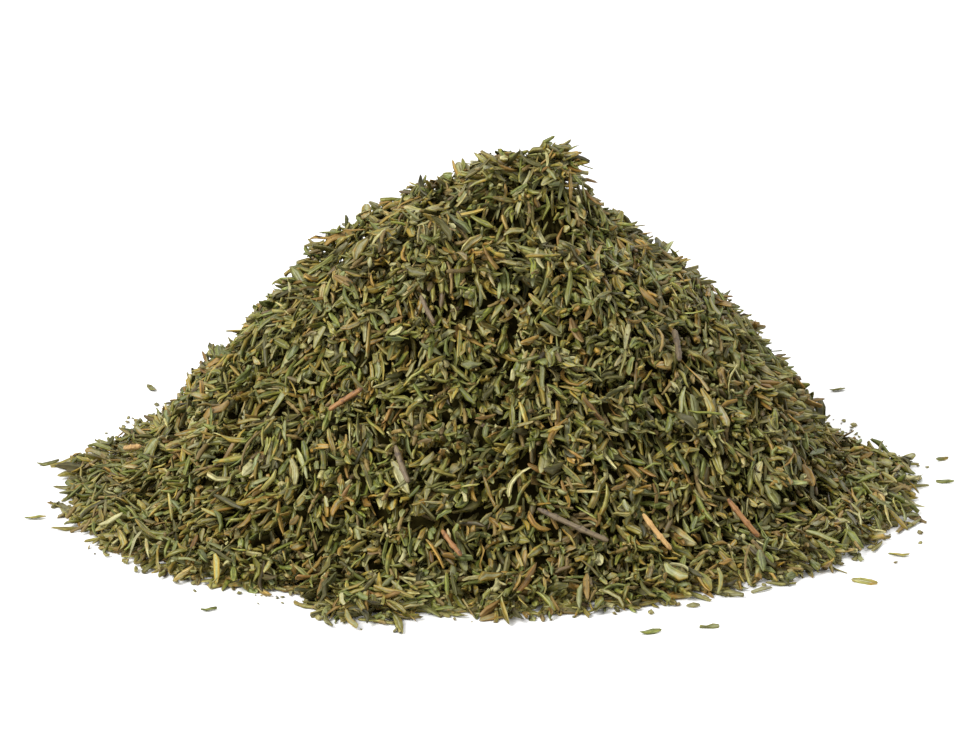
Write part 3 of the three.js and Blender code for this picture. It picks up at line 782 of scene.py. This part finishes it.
def tubes(pieces, along, radii, bow, corners, squareness=0.12, rough=0.04, up_squash=1.0):
    """Closed tubes: at each share along its length, a ring of radius r (1 + q cos 4w) at the angle w
    round it, with a little random roughness, about an axis that is bowed sideways and up as a parabola.
    Lengths and radii are arrays of one row for each tube."""
    count, stations = radii.shape
    angle = TURN * np.arange(corners) / corners
    uneven = rough * rng.standard_normal((count, stations, corners))
    ring = radii[:, :, None] * (1 + squareness * np.cos(4 * angle) + uneven)
    span = np.ptp(along, axis=1)[:, None]
    arch = 1 - 4 * (along / span) ** 2
    y = ring * np.sin(angle) + (bow[:, :1] * arch)[:, :, None]
    z = up_squash * ring * np.cos(angle) + (bow[:, 1:] * arch)[:, :, None]
    points = placed(pieces, along[:, :, None] + 0 * y, y, z)
    first = points[:, 0].mean(axis=1) - 0.3 * radii[:, :1] * pieces["axis"]
    last = points[:, -1].mean(axis=1) + 0.3 * radii[:, -1:] * pieces["axis"]
    share = (along - along[:, :1]) / span
    spots = np.stack([share[:, :, None] + 0 * y, np.sin(angle) + 0 * y, np.cos(angle) + 0 * y], axis=-1)
    return make_skin(first, points, last, spots, pieces["tint"])


BIT_SHARES = np.array([-0.5, -0.3, -0.08, 0.02, 0.14, 0.35, 0.5])  # where a bit of stem's sections are
SWELLING, SWOLLEN, END_GIRTH = 3, 1.35, 0.75  # the section that swells, by how much, and its ends' girth


def stem_bits(bits):
    """Short bits of stem, squarish in section, each with a swelling where a pair of leaves sat."""
    count = len(bits["length"])
    along = BIT_SHARES * bits["length"][:, None]
    radii = 0.5 * bits["width"][:, None] * (1 + 0.12 * rng.standard_normal((count, len(BIT_SHARES))))
    radii[:, SWELLING] *= SWOLLEN
    radii[:, [0, -1]] *= END_GIRTH
    bow = 0.05 * bits["length"][:, None] * rng.standard_normal((count, 2))
    return tubes(bits, along, radii, bow, corners=6)


# Husks, from the stalk round the lip to the floor of the cup: share of the length, radius, reach of the
# rim's teeth, and 1 inside the cup.
HUSK_PROFILE = np.array([
    [-0.5, 0.16, 0, 0],
    [-0.36, 0.55, 0, 0],
    [-0.05, 0.8, 0, 0],
    [0.25, 0.78, 0, 0],
    [0.5, 1.0, 0.2, 0],
    [0.46, 0.78, 0.12, 1],
    [0.1, 0.35, 0, 1],
])
RIBS, HUSK_CORNERS = 5, 10


def husks(cups):
    """Dry husks of flowers: a ribbed cup that widens to its mouth and narrows inside, with teeth round the
    rim. Its rings follow HUSK_PROFILE, and the rim's teeth reach forward as cos 5w does at the angle w."""
    share, girth, teeth, inside = HUSK_PROFILE.T[:, None, :, None]
    angle = TURN * np.arange(HUSK_CORNERS) / HUSK_CORNERS
    ribs = np.cos(RIBS * angle)
    shape = (len(cups["length"]), len(HUSK_PROFILE), HUSK_CORNERS)
    x = (share + teeth * ribs + 0.02 * rng.standard_normal(shape)) * cups["length"][:, None, None]
    radius = girth * (1 + 0.07 * ribs) * (1 + 0.06 * rng.standard_normal(shape))
    radius = radius * 0.5 * cups["width"][:, None, None]
    points = placed(cups, x, radius * np.sin(angle), 0.82 * radius * np.cos(angle))
    values = (share + 0.5, 0.8 * ribs, inside)
    spots = np.stack([np.broadcast_to(value, shape) for value in values], axis=-1)
    first = points[:, 0].mean(axis=1) - 0.05 * cups["axis"]
    return make_skin(first, points, points[:, -1].mean(axis=1), spots, cups["tint"], last_spot=(0.5, 0, 1))


def crumbs(x, y, ground, size, tint):
    """Crumbs of leaf: flakes of two rings of four points, pulled about at random and flattened, each
    lying on what is under it."""
    count = len(x)
    heading = TURN * rng.random(count)
    tilt = 0.5 * rng.standard_normal(count)
    flat = np.cos(tilt)
    flakes = dict(
        middle=np.stack([x, y, ground + 0.28 * size], axis=-1),
        axis=np.stack([np.cos(heading) * flat, np.sin(heading) * flat, np.sin(tilt)], axis=-1),
        side=np.stack([-np.sin(heading), np.cos(heading), np.zeros(count)], axis=-1),
        tint=tint)
    along = size[:, None] * (np.array([-0.3, 0.3]) + 0.08 * rng.standard_normal((count, 2)))
    radii = size[:, None] * (0.36 + 0.1 * rng.random((count, 2)))
    bow = np.zeros((count, 2))
    return tubes(flakes, along, radii, bow, corners=4, squareness=0, rough=0.22, up_squash=0.5)


PACKED_TURNS, PACKED_RINGS = 220, 100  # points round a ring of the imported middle, and rings in it
PACKED_FOOT, PACKED_LOW = 0.5, 0.55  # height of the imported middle's foot, and least height of its rings


def packed_middle():
    """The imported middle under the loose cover: rings that shrink from a line a little inside the cover's
    edge to a point under the summit, each of their points at its height in the map and pulled about a
    little, closed by a point on top and one under the foot."""
    turn = np.linspace(TURN, 0, PACKED_TURNS, endpoint=False)
    foot = face_points(turn, 0 * turn)[:, :2]
    outwards = edge_reach(turn) - PACKED_INSET
    foot *= (1 + outwards / np.hypot(foot[:, 0], foot[:, 1]))[:, None]
    share = np.linspace(1, 0.02, PACKED_RINGS)[:, None]
    x, y = (share * foot[:, k] + (1 - share) * middle for k, middle in enumerate((LEVELS[-1, 1], 0)))
    points = np.stack([x, y, maps["packed"][cells(x, y)]], axis=-1)
    points = points + np.array([0.3, 0.3, 0.35]) * rng.standard_normal(points.shape)
    points[..., 2] = np.maximum(points[..., 2], PACKED_LOW)
    points[0, :, 2] = PACKED_FOOT
    first, last = np.array([[0, 0, PACKED_FOOT]]), points[-1].mean(axis=0)[None]
    rings = points[None]
    return make_skin(first, rings, last, np.zeros(rings.shape), np.full((1, 3), 0.5), last_spot=(0, 0, 0))


# ---- Materials ----

def colour(red, green, blue):
    """A colour given as it is seen, from 0 to 255, as the shader's linear light."""
    share = np.array([red, green, blue]) / 255
    return (*np.where(share <= 0.04045, share / 12.92, ((share + 0.055) / 1.055) ** 2.4).tolist(), 1.0)


def add_node(tree, kind, inputs=None, **settings):
    """A shader node with its settings and inputs; an input is a value or another node's output."""
    made = tree.nodes.new(kind)
    for key, value in settings.items():
        setattr(made, key, value)
    for key, value in (inputs or {}).items():
        if isinstance(value, bpy.types.NodeSocket):
            tree.links.new(value, made.inputs[key])
        else:
            made.inputs[key].default_value = value
    return made


def math_node(tree, operation, *values, clamp=False):
    """One step of arithmetic on numbers or other nodes' outputs."""
    inputs = dict(enumerate(values))
    return add_node(tree, "ShaderNodeMath", inputs, operation=operation, use_clamp=clamp).outputs[0]


def times(tree, first, second):
    """first x second."""
    return math_node(tree, "MULTIPLY", first, second)


def times_plus(tree, value, factor, more):
    """value x factor + more."""
    return math_node(tree, "MULTIPLY_ADD", value, factor, more)


def larger(tree, first, second):
    """The larger of two numbers."""
    return math_node(tree, "MAXIMUM", first, second)


def mix_colours(tree, share, first, second, blend="MIX"):
    """A colour that goes from the first to the second as share goes from 0 to 1."""
    inputs = {"Factor": share, 6: first, 7: second}
    return add_node(tree, "ShaderNodeMix", inputs, data_type="RGBA", blend_type=blend).outputs[2]


def ramp(tree, value, low, high, out_low=0.0, out_high=1.0):
    """A number that goes from out_low to out_high as value goes from low to high: 3 t^2 - 2 t^3 of the
    way at the share t between them."""
    inputs = {"Value": value, "From Min": low, "From Max": high, "To Min": out_low, "To Max": out_high}
    return add_node(tree, "ShaderNodeMapRange", inputs, interpolation_type="SMOOTHSTEP").outputs["Result"]


def noise(tree, place, scale, detail):
    """Smooth random values about 0.5, in cells of 1 / scale of a unit, with finer ones added detail
    times."""
    inputs = {"Vector": place, "Scale": scale, "Detail": detail}
    return add_node(tree, "ShaderNodeTexNoise", inputs).outputs[0]


def new_group(name, colours):
    """A node group with named colours as inputs, and a colour, a roughness and a height as outputs."""
    tree = bpy.data.node_groups.new(name, "ShaderNodeTree")
    for label in colours:
        socket = tree.interface.new_socket(label, in_out="INPUT", socket_type="NodeSocketColor")
        socket.default_value = (0.2, 0.2, 0.2, 1)
    tree.interface.new_socket("Colour", in_out="OUTPUT", socket_type="NodeSocketColor")
    for label in ("Roughness", "Height"):
        tree.interface.new_socket(label, in_out="OUTPUT", socket_type="NodeSocketFloat")
    return tree, tree.nodes.new("NodeGroupInput").outputs, tree.nodes.new("NodeGroupOutput").inputs


def read_numbers(tree, attribute):
    """The three numbers that a piece carries under a name, at the point being coloured."""
    read = add_node(tree, "ShaderNodeAttribute", attribute_name=attribute)
    return add_node(tree, "ShaderNodeSeparateXYZ", {0: read.outputs["Vector"]}).outputs


def shaded(tree, tone, shade):
    """A colour times a brightness."""
    grey = add_node(tree, "ShaderNodeCombineColor", {0: shade, 1: shade, 2: shade}).outputs[0]
    return mix_colours(tree, 1.0, tone, grey, "MULTIPLY")


def dried_leaf_group():
    """Colour, roughness and height of a dried leaf: two leaf colours mixed by the leaf's own tint and a
    mottle, browned at the ends and in patches, paler and downy underneath, paler in streaks along it that
    are partly bloom and partly painted sheen, with painted shade down the groove on top and a little
    painted light on the rolled edges to either side, with wrinkles and oil glands."""
    tree, given, wanted = new_group("Dried leaf", ["Upper", "Second", "Underside", "Browned"])
    pick_out, light, browned = read_numbers(tree, "tint")
    along, across, under = read_numbers(tree, "spot")
    place = add_node(tree, "ShaderNodeTexCoord").outputs["Object"]
    mottle = noise(tree, place, 1100.0, 3.0)
    fine = noise(tree, place, 4200.0, 2.0)
    glands = add_node(tree, "ShaderNodeTexVoronoi", {"Vector": place, "Scale": 5200.0}).outputs["Distance"]
    gland = ramp(tree, glands, 0.12, 0.34, 1.0, 0.0)

    # The leaf's two colours, mixed.
    share = math_node(tree, "ADD", pick_out, times_plus(tree, mottle, 3.0, -1.5), clamp=True)
    leaf = mix_colours(tree, share, given["Upper"], given["Second"])
    # Browned ends and patches.
    from_middle = math_node(tree, "ABSOLUTE", math_node(tree, "SUBTRACT", along, 0.5))
    at_ends = ramp(tree, times_plus(tree, mottle, 0.22, from_middle), 0.46, 0.62, 0.0, 0.85)
    brown = times(tree, times(tree, at_ends, 0.7), times_plus(tree, browned, 0.8, 0.2))
    broad = noise(tree, place, 420.0, 2.0)
    patches = ramp(tree, times_plus(tree, browned, 0.4, broad), 0.62, 0.9, 0.0, 0.8)
    leaf = mix_colours(tree, larger(tree, brown, patches), leaf, given["Browned"])
    # Down on the underside, and pale streaks along the grain that are partly bloom and partly painted sheen.
    along_grain = times_plus(tree, pick_out, 40.0, times(tree, along, 1.5))
    grain_inputs = {0: along_grain, 1: times(tree, across, 4.0), 2: under}
    grain = noise(tree, add_node(tree, "ShaderNodeCombineXYZ", grain_inputs).outputs[0], 1.0, 3.0)
    bloom_and_sheen = ramp(tree, grain, 0.5, 0.7, 0.0, 0.5)
    pale = larger(tree, times(tree, under, times_plus(tree, fine, 0.5, 0.5)), bloom_and_sheen)
    leaf = mix_colours(tree, pale, leaf, given["Underside"])
    # Painted shade down the groove on top and a little painted light on the rolled edges either side, and
    # dark between specks and glands.
    painted_groove_shade = ramp(tree, math_node(tree, "ABSOLUTE", across), 0.02, 0.4, 0.6, 1.08)
    painted_groove_shade = larger(tree, painted_groove_shade, under)
    specks = times_plus(tree, grain, 1.1, times_plus(tree, fine, 0.35, 0.25))
    specks = times(tree, specks, times_plus(tree, mottle, 0.7, 0.65))
    # the shade here carries the painted groove shade and edge light, and random specks
    shade = times(tree, times(tree, painted_groove_shade, specks), light)
    shade = times(tree, shade, times_plus(tree, gland, -0.16, 1.0))
    tree.links.new(shaded(tree, leaf, shade), wanted["Colour"])
    tree.links.new(times_plus(tree, fine, 0.4, 0.3), wanted["Roughness"])
    wrinkles = times_plus(tree, fine, 0.7, times_plus(tree, grain, 0.8, mottle))
    tree.links.new(times_plus(tree, gland, -0.35, wrinkles), wanted["Height"])
    return tree


def dried_stem_group():
    """Colour, roughness and height of a dried stem: fibres that run along it, in two colours, worn pale
    on the ridges and stained dark in places."""
    tree, given, wanted = new_group("Dried stem", ["Bark", "Fibre", "Stain"])
    pick_out, light, _ = read_numbers(tree, "tint")
    along, around_y, around_z = read_numbers(tree, "spot")
    lengthwise = times_plus(tree, pick_out, 40.0, times(tree, along, 1.8))
    grain_inputs = {0: lengthwise, 1: times(tree, around_y, 4.5), 2: times(tree, around_z, 4.5)}
    grain = noise(tree, add_node(tree, "ShaderNodeCombineXYZ", grain_inputs).outputs[0], 1.0, 4.0)
    place = add_node(tree, "ShaderNodeTexCoord").outputs["Object"]
    stains = noise(tree, place, 900.0, 3.0)
    fine = noise(tree, place, 5000.0, 2.0)
    stem = mix_colours(tree, ramp(tree, grain, 0.4, 0.62), given["Bark"], given["Fibre"])
    stem = mix_colours(tree, ramp(tree, stains, 0.54, 0.68, 0.0, 0.8), stem, given["Stain"])
    shade = times(tree, light, times_plus(tree, fine, 0.6, 0.7))
    tree.links.new(shaded(tree, stem, shade), wanted["Colour"])
    tree.links.new(times_plus(tree, grain, 0.35, 0.42), wanted["Roughness"])
    tree.links.new(times_plus(tree, fine, 0.4, grain), wanted["Height"])
    return tree


DRIED_LEAF = dried_leaf_group()
DRIED_STEM = dried_stem_group()


LEAF_BUMP, STEM_BUMP, BUMP_DEPTH = 0.5, 0.7, 0.04 * MM  # how strongly heights show, and how high they are
SHEEN = 0.38  # how much the pieces reflect, against 0.5 for most materials


def surface(name, group, colours, bump=LEAF_BUMP, sheen=SHEEN):
    """A material whose colour, roughness and bump come from a node group, given its colours in order."""
    material = bpy.data.materials.new(name)
    material.use_nodes = True
    tree = material.node_tree
    shader = tree.nodes["Principled BSDF"]
    shader.inputs["Specular IOR Level"].default_value = sheen
    effect = add_node(tree, "ShaderNodeGroup", node_tree=group)
    for socket, value in zip(effect.inputs, colours):
        socket.default_value = colour(*value)
    height = {"Height": effect.outputs["Height"], "Strength": bump, "Distance": BUMP_DEPTH}
    tree.links.new(effect.outputs["Colour"], shader.inputs["Base Color"])
    tree.links.new(effect.outputs["Roughness"], shader.inputs["Roughness"])
    tree.links.new(add_node(tree, "ShaderNodeBump", height).outputs[0], shader.inputs["Normal"])
    return material


LEAF_GOLD = (141, 114, 39)

# The sorts of leaf in the heap: share of the leaves, upper side, second colour, underside, browned ends.
LEAF_SORTS = {
    "green_leaves": (0.24, (78, 85, 24), (103, 106, 37), (140, 147, 104), LEAF_GOLD),
    "olive_leaves": (0.3, (91, 86, 22), (104, 105, 39), (152, 155, 118), LEAF_GOLD),
    "khaki_leaves": (0.24, (107, 95, 30), (121, 117, 55), (155, 153, 120), (141, 104, 38)),
    "straw_leaves": (0.07, (140, 132, 75), (158, 153, 106), (171, 168, 130), (140, 110, 46)),
    "golden_leaves": (0.07, (125, 99, 34), (118, 89, 36), (142, 124, 80), (112, 78, 32)),
    "dark_leaves": (0.1, (62, 60, 21), (76, 71, 29), (98, 94, 56), (66, 50, 22)),
}
# The same four colours for crumbs, the imported middle and husks. The imported middle's are darker than
# the leaves', as painted shade deep in the heap.
CRUMB_COLOURS = ((96, 92, 38), (130, 122, 68), (142, 136, 90), (96, 72, 36))
PACKED_SHADE_COLOURS = ((76, 70, 34), (90, 84, 42), (92, 88, 50), (78, 66, 34))
HUSK_COLOURS = ((108, 98, 50), (94, 76, 50), (128, 118, 78), (82, 60, 44))
# Bark, fibre and stain of the stems.
STEM_COLOURS = {
    "russet_stem": ((112, 74, 38), (142, 104, 60), (72, 46, 30)),
    "dun_stem": ((86, 72, 54), (112, 98, 72), (58, 46, 38)),
    "straw_stem": ((158, 122, 68), (180, 148, 96), (118, 82, 46)),
    "stem_bits": ((100, 82, 42), (126, 108, 62), (70, 52, 34)),
}
leaf_materials = {name: surface(name, DRIED_LEAF, sort[1:]) for name, sort in LEAF_SORTS.items()}
crumb_material = surface("leaf_crumbs", DRIED_LEAF, CRUMB_COLOURS)
# The imported middle: darker colours as painted shade deep in the heap, and no sheen.
packed_shade_material = surface("packed_leaves", DRIED_LEAF, PACKED_SHADE_COLOURS, sheen=0.0)
husk_material = surface("flower_husks", DRIED_LEAF, HUSK_COLOURS)
stem_materials = {
    name: surface(name, DRIED_STEM, colours, bump=STEM_BUMP) for name, colours in STEM_COLOURS.items()}


# ---- The heap ----

LIGHT_DEPTH = 0.7  # from this far under the cover leaves are made plainer
DARK_DEPTH = 9.0  # and from this far under they are left out, but near the summit
SUMMIT_HEIGHT = 52  # which is from this height up
BITS_DEPTH = 1.5  # from this far under bits of stem and husks are left out
PRESSED, PRESSED_OUTER = 900, 2900  # leaves under the heap: all over its foot, and more in its outer ring
LOOSE, LOOSE_INSIDE = 0.08, -3.5  # share that may lie loose, and least distance inside the cover's edge
SLOPE_CRUMBS, FOOT_CRUMBS = 1300, 90  # crumbs on the slopes and round the foot
CRUMB_REST = 0.7  # a crumb rests on the lowest ground this far round it
CRUMB_ROOM = (97, 92)  # crumbs further out than this along X and Y are left out


def tints(count):
    """Each leaf's own place between its sort's two colours, its brightness, and how far it has browned."""
    light = np.clip(1 + 0.21 * rng.standard_normal(count), 0.55, 1.45)
    return np.stack([rng.random(count), light, rng.random(count) ** 2], axis=-1)


def pressed_underside():
    """Leaves pressed flat against what the heap lies on, all over its foot and closer together in its outer
    ring, and a few that lie loose up to a few millimetres outside it."""
    turn = TURN * rng.random(PRESSED + PRESSED_OUTER)
    share = np.concatenate([0.97 * np.sqrt(rng.random(PRESSED)), 0.82 + 0.22 * rng.random(PRESSED_OUTER)])
    edge = face_points(turn, np.zeros(len(turn)))
    x, y = share * edge[:, 0], share * edge[:, 1]
    loose = rng.random(len(turn)) < LOOSE
    within = edge_place(x, y)[0] > np.where(loose, LOOSE_INSIDE, 0.8 + 0.8 * rng.random(len(turn)))
    x, y = x[within], y[within]
    pieces = draw_pieces(len(x))
    heading = TURN * rng.random(len(x))
    pieces["kind"] = np.full(len(x), LEAF)
    pieces["axis"] = np.stack([np.cos(heading), np.sin(heading), np.zeros(len(x))], axis=-1)
    pieces["side"] = np.stack([-np.sin(heading), np.cos(heading), np.zeros(len(x))], axis=-1)
    pieces["middle"] = np.stack([x, y, 0.5 + 0.15 * rng.random(len(x))], axis=-1)
    return pieces


def scattered_crumbs():
    """Crumbs caught on the slopes, each as low as what lies just round it, and crumbs round the foot that
    thin out with distance from it."""
    turn = TURN * rng.random(SLOPE_CRUMBS + FOOT_CRUMBS)
    edge = face_points(turn, np.zeros(len(turn)))[:, :2]
    foot_turn, foot_edge = turn[SLOPE_CRUMBS:], edge[SLOPE_CRUMBS:]
    away = np.minimum(rng.exponential(1.8, FOOT_CRUMBS) - 0.5, 7.5) + edge_reach(foot_turn)
    on_slopes = np.sqrt(rng.random(SLOPE_CRUMBS)) * 0.99
    share = np.concatenate([on_slopes, 1 + away / np.hypot(foot_edge[:, 0], foot_edge[:, 1])])
    x, y = edge[:, 0] * share, edge[:, 1] * share
    size = np.clip(0.85 * np.exp(0.45 * rng.standard_normal(len(turn))), 0.35, 1.9)
    just_round = CRUMB_REST * np.array([(0, 0), (1, 0), (-1, 0), (0, 1), (0, -1)])
    ground = np.min([maps["ground"][cells(x + right, y + back)] for right, back in just_round], axis=0)
    ground = np.maximum(ground, 0)
    inside = (np.abs(x) < CRUMB_ROOM[0]) & (np.abs(y) < CRUMB_ROOM[1])
    return crumbs(x[inside], y[inside], ground[inside], size[inside], tints(inside.sum()))


laid = dict(laid, tint=tints(len(depth)))
kind = laid["kind"]
leafy = np.isin(kind, (LEAF, BROKEN, BROAD, HOOK))
near = depth < LIGHT_DEPTH
deep = ~near & ((depth < DARK_DEPTH) | (laid["middle"][:, 2] > SUMMIT_HEIGHT))

tips = shoot_tips(pick(laid, near & (kind == TIP)))
near_leaves = joined(pick(laid, near & leafy), dict(tips, tint=tints(len(tips["length"]))))
near_leaves = leaf_habit(near_leaves)
deep_leaves = leaf_habit(pick(laid, deep & leafy))
under_leaves = pressed_underside()
under_leaves = leaf_habit(dict(under_leaves, tint=tints(len(under_leaves["length"]))))
under_leaves["bend"] *= 0.3

# Leaves that show, one piece for each sort.
sort_shares = np.array([sort[0] for sort in LEAF_SORTS.values()])
near_sort = rng.choice(len(sort_shares), size=len(near_leaves["length"]), p=sort_shares / sort_shares.sum())
for k, (name, material) in enumerate(leaf_materials.items()):
    hooks = (near_sort == k) & (near_leaves["kind"] == HOOK)
    plain = (near_sort == k) & (near_leaves["kind"] != HOOK)
    skins = [leaf_skins(pick(near_leaves, plain), FINE_SECTION, FINE_OUTLINE)]
    skins.append(leaf_skins(pick(near_leaves, hooks), PLAIN_SECTION, HOOK_OUTLINE))
    make_piece(name, skins, material)

# Plainer leaves, seen through gaps or from below.
half = rng.random(len(deep_leaves["length"])) < 0.5
for name, leaves, sort in (
        ("inner_leaves", pick(deep_leaves, half), "olive_leaves"),
        ("inner_khaki_leaves", pick(deep_leaves, ~half), "khaki_leaves"),
        ("underside_leaves", under_leaves, "khaki_leaves")):
    make_piece(name, [leaf_skins(leaves, PLAIN_SECTION, PLAIN_OUTLINE)], leaf_materials[sort])

# The imported middle, coloured darker as painted shade deep in the heap.
make_piece("packed_leaves", [packed_middle()], packed_shade_material)
shown = depth < BITS_DEPTH
make_piece("stem_bits", [stem_bits(pick(laid, shown & (kind == STEM)))], stem_materials["stem_bits"])
make_piece("flower_husks", [husks(pick(laid, shown & (kind == HUSK)))], husk_material)
make_piece("leaf_crumbs", [scattered_crumbs()], crumb_material)


# ---- Stems on the slopes and stray leaves ----

# Where a stem's sections are along it and how thick it is there, with two swellings where leaves sat.
STEM_SHARES = np.array([-0.5, -0.44, -0.3, -0.18, -0.13, -0.08, 0.06, 0.2, 0.25, 0.3, 0.42, 0.5])
STEM_GIRTHS = np.array([0.5, 0.84, 0.8, 0.84, 1.12, 0.84, 0.78, 0.82, 1.05, 0.8, 0.74, 0.42])
UPWARDS = np.array([0, 0, 1.0])

for name, (middle, direction, length, width) in stems.items():
    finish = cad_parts[name].data.materials[0].name
    side = np.cross(UPWARDS, direction)
    side /= np.linalg.norm(side)
    tint = np.array([[rng.random(), 1.0 + 0.1 * rng.standard_normal(), 0.5]])
    stem = dict(middle=middle[None], axis=direction[None], side=side[None], tint=tint)
    radii = 0.5 * width * STEM_GIRTHS[None]
    bow = np.array([[0.02 * length, 0]])
    skin = tubes(stem, STEM_SHARES[None] * length, radii, bow, corners=12, squareness=0.1)
    make_piece(f"thyme_{name}", [skin], stem_materials[finish], name)

for name, (middle, direction, length, width) in strays.items():
    blade = 0.9 * width
    form = draw_pieces(1)
    form.update(
        kind=np.array([LEAF]), length=np.array([length]), width=np.array([blade]), roll=np.array([1.6]),
        half_blade=np.array([0.8 * blade]), sheet=np.array([0.17]), middle=middle[None] + [0, 0, 0.05],
        axis=direction[None], side=np.cross(UPWARDS[None], direction[None]), tint=tints(1))
    form = leaf_habit(form)
    form.update(bend=0.4 * form["bend"], turned=0.3 * form["turned"])
    sort = list(leaf_materials)[rng.integers(0, 3)]
    skin = leaf_skins(form, FINE_SECTION, FINE_OUTLINE)
    make_piece(f"thyme_{name}", [skin], leaf_materials[sort], name)


# ---- Floor, light and camera ----

FLOOR_REACH = 3.0  # half side of the floor, in metres, as all lengths are from here on
AIM = (0, 0, 0.02)  # what the lights are turned towards
VIEW_DOWN = math.radians(17)
VIEW_DISTANCE, VIEW_HEIGHT = 0.6, 0.0225  # from the point looked at, and that point's height
LENS, SENSOR = 105.2, 36  # in millimetres


def make_floor():
    """A plain pale floor, one square sheet, with the faintest unevenness in its colour."""
    mesh = bpy.data.meshes.new("floor")
    far = FLOOR_REACH
    corners = [(-far, -far, 0), (far, -far, 0), (far, far, 0), (-far, far, 0)]
    mesh.from_pydata(corners, [], [(0, 1, 2, 3)])
    material = bpy.data.materials.new("floor")
    material.use_nodes = True
    tree = material.node_tree
    tone = noise(tree, add_node(tree, "ShaderNodeTexCoord").outputs["Object"], 30.0, 2.0)
    shader = tree.nodes["Principled BSDF"]
    pale = mix_colours(tree, tone, (0.9, 0.9, 0.9, 1), (0.92, 0.92, 0.92, 1))
    tree.links.new(pale, shader.inputs["Base Color"])
    shader.inputs["Roughness"].default_value = 0.7
    shader.inputs["Specular IOR Level"].default_value = 0.2
    mesh.materials.append(material)
    floor = bpy.data.objects.new("floor", mesh)
    bpy.context.scene.collection.objects.link(floor)


def make_light(name, place, size, power):
    """A soft square light at a place, turned towards AIM."""
    lamp = bpy.data.lights.new(name, "AREA")
    lamp.shape = "SQUARE"
    lamp.size = size
    lamp.energy = power
    light = bpy.data.objects.new(name, lamp)
    light.location = place
    x, y, z = np.array(AIM) - np.array(place)
    light.rotation_euler = (math.atan2(math.hypot(x, y), -z), 0, math.atan2(y, x) - math.pi / 2)
    bpy.context.scene.collection.objects.link(light)


make_floor()
make_light("back", (0.35, 0.65, 0.65), 0.5, 2.8)
make_light("key", (-0.48, -0.6, 0.64), 0.35, 10.4)
world = bpy.data.worlds.new("studio")
world.use_nodes = True
world.node_tree.nodes["Background"].inputs["Color"].default_value = (1, 1, 1, 1)
world.node_tree.nodes["Background"].inputs["Strength"].default_value = 1.0
bpy.context.scene.world = world

camera_data = bpy.data.cameras.new("camera")
camera_data.lens = LENS
camera_data.sensor_width = SENSOR
camera = bpy.data.objects.new("camera", camera_data)
camera_height = VIEW_HEIGHT + VIEW_DISTANCE * math.sin(VIEW_DOWN)
camera.location = (0, -VIEW_DISTANCE * math.cos(VIEW_DOWN), camera_height)
camera.rotation_euler = (math.pi / 2 - VIEW_DOWN, 0, 0)
bpy.context.scene.collection.objects.link(camera)
bpy.context.scene.camera = camera
bpy.context.scene.view_settings.view_transform = "Standard"
